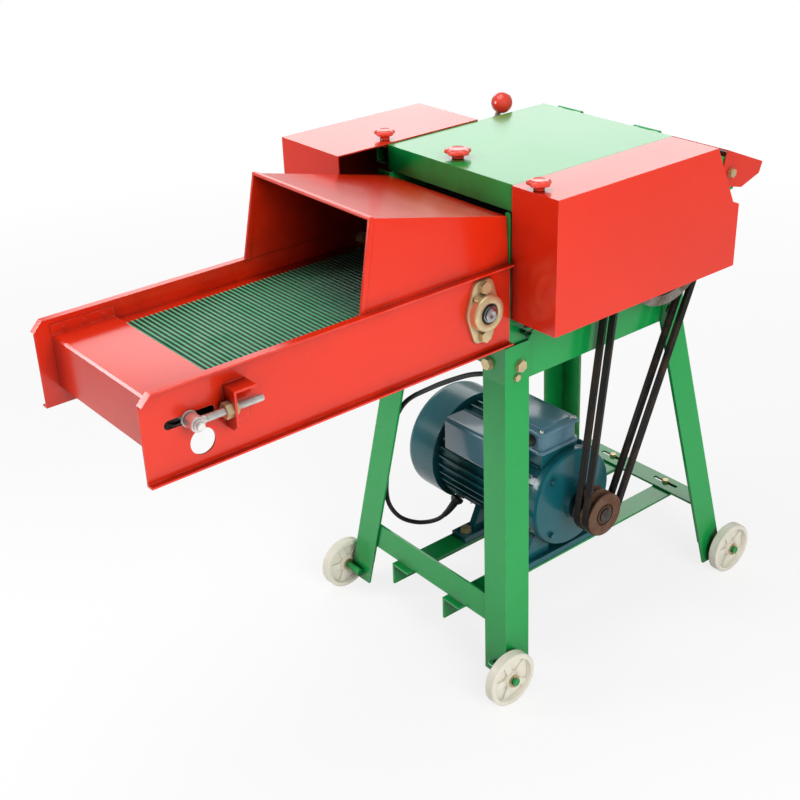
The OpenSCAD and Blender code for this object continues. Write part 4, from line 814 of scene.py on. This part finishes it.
# %% Star knobs
KNOB_PROFILE = [
    (4, -12, 0), (4, 0.3, 0), (7.4, 0.3, 0), (7.6, 1.2, 0), (7.9, 3.6, 0), (9.4, 5.6, 0.03),
    (12.6, 7.4, 0.07), (15.6, 8.9, 0.09), (16.0, 10.4, 0.09), (15.8, 12.2, 0.09),
    (14.8, 14.2, 0.09), (12.8, 15.8, 0.07), (10.2, 16.6, 0.03), (8.2, 16.8, 0),
    (7.6, 16.3, 0), (6.2, 16.0, 0), (0, 16.0, 0),
]
for node, width in (("lid_knob", 41), ("guard_knob", 36), ("gear_cover_knob", 33)):
    low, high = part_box(node)
    seat = Vector(((low.x + high.x) / 2, (low.y + high.y) / 2, high.z - 0.0168))
    grow = width / 35
    tall = 0.86
    bm = bmesh.new()
    lathe(bm, [(r * (grow if h > 0.3 else 1), h * (tall if h > 0.3 else 1), depth)
               for r, h, depth in KNOB_PROFILE], seat,
          steps=80, lobe_count=5)
    knob = make_piece("star_" + node, bm, node, 45)
    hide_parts(node)
    dress(knob, red_plastic)
print("knob caps", KNOB_PROFILE[-1])

# %% [markdown]
# ## The flange bearings
#
# Each shaft turns in a cast flange unit: an oval plate with two bolts, a
# raised cup, and in it an insert bearing with a black seal and a steel inner
# ring that grips the shaft with two set screws. The castings stay still; the
# inner rings ride with their shafts. The unit on the table's right side is
# close to the camera, so the cup, the seal's groove and the grease nipple
# are all there.


# %% Bearing castings
def arc_points(y, z, radius, start, end, steps):
    return [(y + radius * math.cos(math.radians(start + (end - start) * i / steps)),
             z + radius * math.sin(math.radians(start + (end - start) * i / steps)))
            for i in range(steps + 1)]


def rounded_rectangle(x0, x1, y0, y1, radius, steps=8):
    points = []
    for cx, cy, start in ((x1 - radius, y1 - radius, 0), (x0 + radius, y1 - radius, 90),
                          (x0 + radius, y0 + radius, 180), (x1 - radius, y0 + radius, 270)):
        points += arc_points(cx, cy, radius, start, start + 90, steps)
    return points


def reach(outline, angle):
    """Distance from the middle to a closed outline in one direction."""
    d = Vector((math.cos(angle), math.sin(angle)))
    far = 0
    for i, p in enumerate(outline):
        a, b = Vector(p), Vector(outline[(i + 1) % len(outline)])
        e = b - a
        across = d.x * e.y - d.y * e.x
        if abs(across) > 1e-9:
            t = (a.x * e.y - a.y * e.x) / across
            u = (a.x * d.y - a.y * d.x) / across
            if t > 0 and 0 <= u <= 1:
                far = max(far, t)
    return far


def casting(bm, outline, rings, at, side, steps=96):
    """A casting across X: rings of (radius or inset from the outline, height).

    A radius is a number; an inset is written as a text such as "1.2".
    """
    loops = []
    for size, height in rings:
        loop = []
        for i in range(steps):
            a = math.tau * i / steps
            r = reach(outline, a) - float(size) if isinstance(size, str) else size
            loop.append(bm.verts.new(at + Vector((side * height, r * math.cos(a), r * math.sin(a))) / 1000))
        loops.append(loop)
    join_rings(bm, loops, closed=True)


OVAL = (arc_points(0, 0, 29.4, -12, 12, 6) + arc_points(8, 35, 11, 18, 90, 8)
        + arc_points(-8, 35, 11, 90, 162, 8) + arc_points(0, 0, 29.4, 168, 192, 6)
        + arc_points(-8, -35, 11, 198, 270, 8) + arc_points(8, -35, 11, 270, 342, 8))
CUP = [(14.6, 0), ("0", 0), ("0", 3.6), ("0.4", 4.6), ("1.4", 5), (27.8, 5), (27.3, 5.6), (27.0, 9),
       (26.7, 14), (26.2, 16.6), (25.2, 17.8), (23.6, 18.3), (16.2, 18.3), (15.2, 17.6), (14.6, 16.4)]
DISC = arc_points(0, 0, 62, 0, 360, 60)[:-1]
HUB = [(22, 0), ("0", 0), ("0", 3.6), ("0.4", 4.6), ("1.4", 5), (40, 5), (38, 5.8), (36.5, 9),
       (35, 16), (33, 19.5), (30.5, 20.6), (29, 20), (28.5, 15), (22, 15)]
UNITS = [("drive", -60, 637, 135.5), ("lower", 92, 635, 128)]
bm = bmesh.new()
for _, y, z, x in UNITS:
    for side in (-1, 1):
        casting(bm, OVAL, CUP, mm(side * x, y, z), side)
        slope = Vector((0, -0.62, 0.78))
        foot = mm(side * (x + 9), y, z) + slope * 0.0272
        lathe(bm, [(2.9, 0), (2.9, 1.6), (1.9, 2.2), (1.5, 3.6), (2.0, 4.4), (1.6, 5.6), (0, 6.0)],
              foot, axis=slope, steps=16)
casting(bm, DISC, HUB, mm(128, 295, 652), 1)
bearing_castings = make_piece("bearing_castings", bm, "frame", 40)
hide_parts("flange_bearings")
dress(bearing_castings, gold_zinc)
print("castings", 2 * len(UNITS) + 1)

# %% Seals and inner rings
SEAL = [(12.2, 12), (14.5, 12), (14.5, 17), (13.9, 17.6), (12.9, 17.2), (12.2, 17.2)]
RING = [(10.05, 12), (12.1, 12), (12.1, 19.2), (11.4, 20), (10.05, 20)]
SHAFT_CAP = [(0, 21), (10.25, 21), (10.25, 22), (9.4, 22.7), (3.6, 22.7), (2.2, 21.9), (0, 21.8)]
for body, y, z, x in (("conveyor_drive", -60, 637, 135.5), ("lower_roller", 92, 635, 128)):
    bm = bmesh.new()
    for side in (-1, 1):
        lathe(bm, SEAL, mm(side * x, y, z), axis=(side, 0, 0), closed=True)
    dress(make_piece("seals_" + body, bm, body, 40), black_plastic)
    bm = bmesh.new()
    for side in (-1, 1):
        lathe(bm, RING, mm(side * x, y, z), axis=(side, 0, 0), closed=True)
    lathe(bm, SHAFT_CAP, mm(x, y, z), axis=(1, 0, 0), steps=32)
    dress(make_piece("shaft_ends_" + body, bm, body, 40), ground_steel)
bm = bmesh.new()
lathe(bm, [(19.8, 11), (28.3, 11), (28.3, 18), (26, 18.6), (22, 17.8), (19.8, 18.4)],
      mm(128, 295, 652), axis=(1, 0, 0), closed=True)
dress(make_piece("rotor_seal", bm, "frame", 40), black_plastic)
bm = bmesh.new()
lathe(bm, [(15.2, 6), (19.5, 6), (19.5, 17), (21, 18.8), (21, 21.2), (20.3, 22), (15.8, 22), (15.2, 21.4)],
      mm(128, 295, 652), axis=(1, 0, 0), closed=True)
dress(make_piece("inner_ring_rotor", bm, "rotor", 40), ground_steel)
print("inner rings made")

# %% [markdown]
# ## The right side plate
#
# The frame's plate has a wide lap in front that takes the table's end. On the
# real machine only its inner part shows beside the belt guard. So this piece
# is the same plate with the lap's outer edge set back, which needs nothing
# but moving the corners of that edge.

# %% Right side plate
bm = bmesh.new()
bm.from_mesh(frame["nodes"]["side_plate_right"].data)
lap_edge, lap_back = mm(150, -2, 0), mm(133, 0, 0).x
for corner in bm.verts:
    if corner.co.x > lap_edge.x and corner.co.y < lap_edge.y:
        corner.co.x = lap_back
right_plate = make_piece("right_side_plate", bm, "frame", 30)
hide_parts("side_plate_right")
dress(right_plate, green_enamel)
soften(right_plate, 0.7)
print("lap set back to", round(lap_back, 4))

# %% [markdown]
# ## The hood's hem
#
# The mouth of the hood is stiffened by folding its sheet back on itself. The
# fold shows as a pale rounded band round the opening, so it is a flat oval
# section carried up one side, across and down the other, with a small
# radius at the two corners.


# %% Hood hem
def oval_section(width, height, corner, steps=5):
    """Rounded rectangle of (side, up) metres about the middle."""
    return [(x / 1000, y / 1000) for x, y in
            rounded_rectangle(-width / 2, width / 2, -height / 2, height / 2, corner, steps)]


def rounded_corners(points, radius, steps=6):
    """A path whose inner corners are rounded, in metres."""
    path = [points[0]]
    for before, here, after in zip(points, points[1:], points[2:]):
        start = here + (before - here).normalized() * radius
        end = here + (after - here).normalized() * radius
        for i in range(steps + 1):
            t = i / steps
            path.append(start * (1 - t) ** 2 + here * 2 * t * (1 - t) + end * t ** 2)
    return path + [points[-1]]


HEM = [(-132.4, -261.5, 692.2), (-129.4, -238.6, 812.8), (129.4, -238.6, 812.8), (132.4, -261.5, 692.2)]
bm = bmesh.new()
sweep(bm, rounded_corners([mm(*p) for p in HEM], 0.005), oval_section(8, 4.4, 1.9), start_side=(0, 1, 0))
hood_hem = make_piece("hood_hem", bm, "frame", 35)
dress(hood_hem, red_enamel)
print("hem corners", len(HEM) - 2)

# %% [markdown]
# ## The belt adjuster
#
# A threaded rod on each side pulls the front roller's axle forward: the rod
# ends in an eye round the axle and its nut bears on a bent bracket. The
# thread is a real helix, one ring of points per step along the rod, with
# every point's radius set by where it is in the pitch. That gives a closed
# mesh without cutting anything.

# %% Adjuster
AXLE_Y, AXLE_Z, ROD_X, ROD_END = -527, 640, 150, -432
THREAD_PITCH = 1.5


def threaded_rod(bm, start, end, axis, root, crest, pitch, steps=24):
    """A rod of metres from start to end, its thread cut down from the crest."""
    along = Vector(axis)
    frame_turn = axis_turn(axis).to_3x3()
    length = (end - start).length * 1000
    count = int(length / pitch * 6)
    rings = [[bm.verts.new(start)]]
    for n in range(count + 1):
        h = length * n / count
        ring = []
        for i in range(steps):
            a = math.tau * i / steps
            phase = (h / pitch - i / steps) % 1
            r = root + (crest - root) * abs(2 * phase - 1)
            r = min(r, root + 0.2 + h * 0.8, root + 0.2 + (length - h) * 0.8)
            ring.append(bm.verts.new(start + along * h / 1000 + frame_turn @ Vector(
                (r * math.cos(a) / 1000, r * math.sin(a) / 1000, 0))))
        rings.append(ring)
    rings.append([bm.verts.new(end)])
    join_rings(bm, rings)


bm = bmesh.new()
axle = [(4.6, -166), (5.5, -165), (5.5, -128.6), (7, -128), (7, 128), (5.5, 128.6), (5.5, 165), (4.6, 166)]
lathe(bm, axle, mm(0, AXLE_Y, AXLE_Z), axis=(1, 0, 0), steps=32)
for side in (-1, 1):
    for inner, outer, low, high in ((5.6, 11, 135.8, 138.8), (5.6, 7.6, 159.1, 162)):
        lathe(bm, [(inner, low), (outer - 0.4, low), (outer, low + 0.4), (outer, high - 0.4),
                   (outer - 0.4, high), (inner, high)],
              mm(0, AXLE_Y, AXLE_Z), axis=(side, 0, 0), steps=40, closed=True)
    lathe(bm, [(5.6, -9), (8.8, -9), (9.7, -8.2), (10, -7), (10, 7), (9.7, 8.2), (8.8, 9), (5.6, 9)],
          mm(side * ROD_X, AXLE_Y, AXLE_Z), axis=(1, 0, 0), steps=48, closed=True)
    lathe(bm, [(5.2, 8), (5.2, 12), (5.0, 14)], mm(side * ROD_X, AXLE_Y, AXLE_Z), axis=(0, 1, 0), steps=24)
    threaded_rod(bm, mm(side * ROD_X, AXLE_Y + 13.6, AXLE_Z), mm(side * ROD_X, ROD_END, AXLE_Z),
                 (0, 1, 0), 4.15, 5.0, THREAD_PITCH)
adjuster = make_piece("adjuster_rods", bm, "take_up", 25)
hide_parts("take_up")
dress(adjuster, bright_zinc)
print("thread turns", round((ROD_END - AXLE_Y) / THREAD_PITCH))

# %% [markdown]
# ## Boxes on the motor
#
# The terminal box and the box beside it are pressed from thin sheet: their
# upright corners are round, the lid has a rolled edge and a raised panel, and
# a screw sits in each corner. Each box is a loft through rounded rectangles,
# which is how a press draws such a shape from flat sheet.


# %% Pressed boxes
def pressed_box(bm, rectangle, levels, place):
    """Loft of one rounded rectangle through (inset, height, corner radius) levels."""
    x0, x1, y0, y1 = rectangle
    rings = []
    for inset, height, radius in levels:
        outline = rounded_rectangle(x0 + inset, x1 - inset, y0 + inset, y1 - inset, radius)
        rings.append([bm.verts.new(place(x, y, height)) for x, y in outline])
    join_rings(bm, rings)


def pan_screw(bm, at, axis, radius=4):
    """A pan-head screw with a dished slot ring."""
    lathe(bm, [(radius, -1.5), (radius, 0.8), (radius * 0.92, 1.7), (radius * 0.7, 2.4),
               (radius * 0.42, 2.7), (radius * 0.36, 2.0), (0, 1.9)], at, axis=axis, steps=24)


BOX_Z = 311
bm = bmesh.new()
pressed_box(bm, (-40, 84, 117, 205), [
    (0.6, BOX_Z, 9), (0, BOX_Z + 0.6, 9), (0, BOX_Z + 4.6, 9), (0.9, BOX_Z + 5.8, 8.5),
    (3.4, BOX_Z + 6.2, 8), (4, BOX_Z + 7, 8), (4, BOX_Z + 33.6, 8)], mm)
pressed_box(bm, (-40, 84, 117, 205), [
    (1, BOX_Z + 33.8, 9), (0, BOX_Z + 34.6, 9), (0, BOX_Z + 38, 9), (0.8, BOX_Z + 39.4, 8.4),
    (2.2, BOX_Z + 40, 7.5), (9, BOX_Z + 40, 7), (10.4, BOX_Z + 40.6, 6.5), (11.6, BOX_Z + 42.4, 6),
    (13.4, BOX_Z + 43, 5)], mm)
terminal_case = make_piece("terminal_case", bm, "frame", 35)
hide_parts("terminal_box")
dress(terminal_case, box_enamel)
bm = bmesh.new()
for x in (-33, 77):
    for y in (124, 198):
        pan_screw(bm, mm(x, y, BOX_Z + 40.4), (0, 0, 1), 3.4)
dress(make_piece("terminal_screws", bm, "frame", 40), bright_zinc)
bm = bmesh.new()
lathe(bm, [(9.4, -3.5), (9.4, 3), (8.8, 3.6), (8.8, 9), (8.2, 10), (6.2, 12.5), (5.0, 14), (4.4, 16.5), (3.9, 17)],
      mm(58, 121, BOX_Z + 20), axis=(0, -1, 0), steps=36)
dress(make_piece("terminal_gland", bm, "frame", 35), black_plastic)
print("terminal case", [round(v * 1000) for v in terminal_case.dimensions])

# %% Capacitor case
motor_low, motor_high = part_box("motor_shaft")
MOTOR_Y, MOTOR_Z = 178, 217


def on_side(y, z, x):
    """A point of the box whose lid faces the front of the machine."""
    return mm(x, MOTOR_Y + y, MOTOR_Z + z)


bm = bmesh.new()
pressed_box(bm, (-114, -68, 55, 117), [
    (0.6, -90, 8), (0, -89, 8), (0, 20, 8), (-1.4, 20.6, 9), (-1.4, 26, 9), (-0.4, 28.6, 8),
    (2, 29.8, 7), (7, 30, 6)], lambda y, z, x: on_side(y, z, x))
capacitor_case = make_piece("capacitor_case", bm, "frame", 35)
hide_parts("capacitor_box")
dress(capacitor_case, box_enamel)
print("capacitor case", [round(v * 1000) for v in capacitor_case.dimensions])

# %% [markdown]
# ## The cord's strain relief
#
# Where the lead leaves the motor it passes a hexagonal gland nut and a soft
# ribbed sleeve that tapers along its first three centimetres, so the cord
# can't be bent sharply at the exit. The sleeve follows the cord's own path.

# %% Strain relief
SLEEVE_LENGTH = 34
bm = bmesh.new()
exit_point = cord_points[0]
away = (cord_points[1] - cord_points[0]).normalized()
lathe(bm, [(11, -9), (11.5, -8.4), (11.5, -3), (11, -2.4), (9.6, -2), (9.2, 0.5), (7.4, 1.2)],
      exit_point, axis=away, steps=6 * 8, lobe_count=0)
rings, gone = [], 0
for a, b in zip(cord_path, cord_path[1:]):
    if gone > SLEEVE_LENGTH:
        break
    along = (b - a).normalized()
    side = Vector((1, 0, 0))
    side = (side - side.dot(along) * along).normalized()
    over = along.cross(side)
    taper = 7.2 - 2.6 * gone / SLEEVE_LENGTH
    for extra, step in ((0, 0), (0, 0.5), (-0.7, 0.7)):
        r = (taper + extra) / 1000
        here = a.lerp(b, step)
        rings.append([bm.verts.new(here + side * r * math.cos(math.tau * i / 24)
                                   + over * r * math.sin(math.tau * i / 24)) for i in range(24)])
    gone += (b - a).length * 1000
join_rings(bm, rings)
strain_relief = make_piece("strain_relief", bm, "frame", 35)
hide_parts("cord_gland")
dress(strain_relief, black_plastic)
print("strain relief", round(gone), "mm")

# %% [markdown]
# ## The feed belt
#
# The straw lies on an endless rubber belt with ribs across it. The ribs are what the eye sees: pale crests, worn
# and painted with a highlight, over grooves darkened by painted shade. The belt is one closed strip. A walk along
# the loop gives a point and a direction for any distance, and each rib adds a few points that stand proud of it.
# The mesh is fixed in place and rides on no body.

# %% Feed belt
BELT_HALF, BELT_T, RIB_PITCH = 108, 3, 7.3
RIB = [(-2.2, 0), (-1.8, 1.0), (-1.3, 1.7), (1.3, 1.7), (1.8, 1.0), (2.2, 0)]
DRIVE, IDLER, DRIVE_R, IDLER_R = Vector((-60, 637)), Vector((-527, 640)), 28.3, 25.3
span = DRIVE - IDLER
slack = 2 * math.atan2(IDLER.y - DRIVE.y, span.x)
lower_run = math.sqrt(span.length_squared - (DRIVE_R - IDLER_R) ** 2)
LEGS = [span.x, DRIVE_R * (math.pi + slack), lower_run, IDLER_R * (math.pi - slack)]


def on_loop(distance):
    """Point and outward direction on the belt's face, in (y, z) millimetres."""
    s = distance % sum(LEGS)
    if s < LEGS[0]:
        return Vector((IDLER.x + s, IDLER.y + IDLER_R)), Vector((0, 1))
    s -= LEGS[0]
    if s < LEGS[1]:
        a = math.pi / 2 - s / DRIVE_R
        out = Vector((math.cos(a), math.sin(a)))
        return DRIVE + out * DRIVE_R, out
    s -= LEGS[1]
    a = -math.pi / 2 - slack
    out = Vector((math.cos(a), math.sin(a)))
    if s < LEGS[2]:
        return (DRIVE + out * DRIVE_R).lerp(IDLER + out * IDLER_R, s / LEGS[2]), out
    a -= (s - LEGS[2]) / IDLER_R
    out = Vector((math.cos(a), math.sin(a)))
    return IDLER + out * IDLER_R, out


rib_count = round(sum(LEGS) / RIB_PITCH)
rib_pitch = sum(LEGS) / rib_count
bm = bmesh.new()
# Crest points are marked for the paler crest colour, which is rubbing and a painted highlight.
crest_rub_and_highlight = bm.verts.layers.float.new("crest_rub_and_highlight")
rings = []
for rib in range(rib_count):
    for offset, height in RIB:
        point, out = on_loop((rib + 0.5) * rib_pitch + offset)
        ring = []
        for x, lift in ((BELT_HALF, -0.5), (BELT_HALF - 0.5, height), (0.5 - BELT_HALF, height),
                        (-BELT_HALF, -0.5), (-BELT_HALF, -BELT_T), (BELT_HALF, -BELT_T)):
            at = point + out * lift
            ring.append(bm.verts.new(mm(x, at.x, at.y)))
            ring[-1][crest_rub_and_highlight] = float(height > 1.5)
        rings.append(ring)
join_rings(bm, rings, closed=True)
ribbed_belt = make_piece("ribbed_belt", bm, None, 28)
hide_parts("conveyor_belt")
dress(ribbed_belt, feed_rubber)
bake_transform(ribbed_belt)
print("ribs", rib_count, "pitch", round(rib_pitch, 2))

# %% [markdown]
# ## The pressure springs
#
# A long tension spring on each side pulls the upper feed roller down on the straw. Each is wound from 2.2 mm wire,
# and its ends are hooks round the two pins. Both springs are one mesh, fixed in place, that rides on no body.

# %% Springs
COIL_R, COIL_TURNS, LOW_PIN, HIGH_PIN = 6.3, 16, 576, 700
bm = bmesh.new()
for side, y in ((1, 25), (-1, 42)):
    wire = []
    for degrees in range(50, -221, -18):
        a = math.radians(degrees)
        wire.append((side * 142.5, y + 5.4 * math.cos(a), LOW_PIN + 5.4 * math.sin(a)))
    for i in range(COIL_TURNS * 16 + 1):
        a = math.radians(270) + math.tau * i / 16
        wire.append((side * 142.5 + COIL_R * math.cos(a), y + COIL_R * math.sin(a),
                     582.5 + 111 * i / (COIL_TURNS * 16)))
    for degrees in range(220, -51, -18):
        a = math.radians(degrees)
        wire.append((side * 142.5, y + 5.4 * math.cos(a), HIGH_PIN + 5.4 * math.sin(a)))
    sweep(bm, [mm(*p) for p in wire], round_section(0.0011, 10), start_side=(1, 0, 0))
feed_springs = make_piece("feed_springs", bm, None, 60)
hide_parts("pressure_springs")
dress(feed_springs, dark_iron)
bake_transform(feed_springs)
print("spring wire", len(wire), "points")

# %% [markdown]
# ## The studio
#
# A pale floor, a broad lamp at the right of the machine and a softbox behind
# it. The softbox is what the sloping camera sees mirrored in the top faces,
# so the lid turns mint and the red covers pink, as glossy enamel does. The
# world is white to the camera and to mirrors, and gives even fill light.


# %% Floor, world and lamps
def area_lamp(name, place, aim, width, height, power):
    lamp = bpy.data.objects.new(name, bpy.data.lights.new(name, "AREA"))
    lamp.data.shape = "RECTANGLE"
    lamp.data.size = width
    lamp.data.size_y = height
    lamp.data.energy = power
    lamp.location = place
    lamp.rotation_mode = "QUATERNION"
    lamp.rotation_quaternion = (Vector(aim) - Vector(place)).to_track_quat("-Z", "Y")
    bpy.context.scene.collection.objects.link(lamp)
    return lamp


bpy.ops.mesh.primitive_plane_add(size=60)
floor = bpy.context.object
floor.name = "studio_floor"
floor_paint, tree, shader = new_material("floor_paint")
shader.inputs["Base Color"].default_value = rgb(0.93, 0.93, 0.93)
shader.inputs["Roughness"].default_value = 0.8
output = tree.nodes["Material Output"]
glow = add_node(tree, "ShaderNodeEmission", {"Color": rgb(1, 1, 1), "Strength": 1.0})
rays = add_node(tree, "ShaderNodeLightPath")
where = add_node(tree, "ShaderNodeTexCoord").outputs["Object"]
away = add_node(tree, "ShaderNodeVectorMath", {0: where}, operation="LENGTH").outputs["Value"]
white = remap(tree, away, 1.0, 2.6, 0.80, 1.0)
mirrored = math_node(tree, "MULTIPLY", rays.outputs["Is Glossy Ray"], 0.15)
seen = math_node(tree, "MULTIPLY", math_node(tree, "MAXIMUM", rays.outputs["Is Camera Ray"], mirrored), white)
blend = add_node(tree, "ShaderNodeMixShader", {0: seen, 1: shader.outputs[0], 2: glow.outputs[0]})
tree.links.new(blend.outputs[0], output.inputs["Surface"])
floor.data.materials.append(floor_paint)

world = bpy.data.worlds.new("studio")
bpy.context.scene.world = world
world.use_nodes = True
tree = world.node_tree
rays = add_node(tree, "ShaderNodeLightPath")
mirrored = math_node(tree, "MULTIPLY", rays.outputs["Is Glossy Ray"], 0.33)
seen = math_node(tree, "MAXIMUM", rays.outputs["Is Camera Ray"], math_node(
    tree, "MAXIMUM", mirrored, rays.outputs["Is Transmission Ray"]))
strength = remap(tree, seen, 0.0, 1.0, 0.19, 1.0)
tree.links.new(strength, tree.nodes["Background"].inputs["Strength"])
tree.nodes["Background"].inputs["Color"].default_value = rgb(1, 1, 1)

middle = Vector((0, 0, 0.5))
key_lamp = area_lamp("key_lamp", middle + Vector((2.3, -0.5, 1.1)), middle, 1.5, 1.5, 50)
key_lamp.visible_glossy = False  # its mirror image would turn the flat tops white from the far side
area_lamp("back_softbox", middle + Vector((-1.75, 1.4, 1.0)), middle, 2.4, 0.9, 14)
area_lamp("top_lamp", middle + Vector((-0.3, -0.3, 1.9)), middle, 1.6, 1.6, 19)
area_lamp("left_lamp", middle + Vector((-0.95, -1.25, 0.5)), middle + Vector((0, -0.3, 0.2)), 0.5, 0.5, 9)
bpy.context.scene.view_settings.view_transform = "Standard"
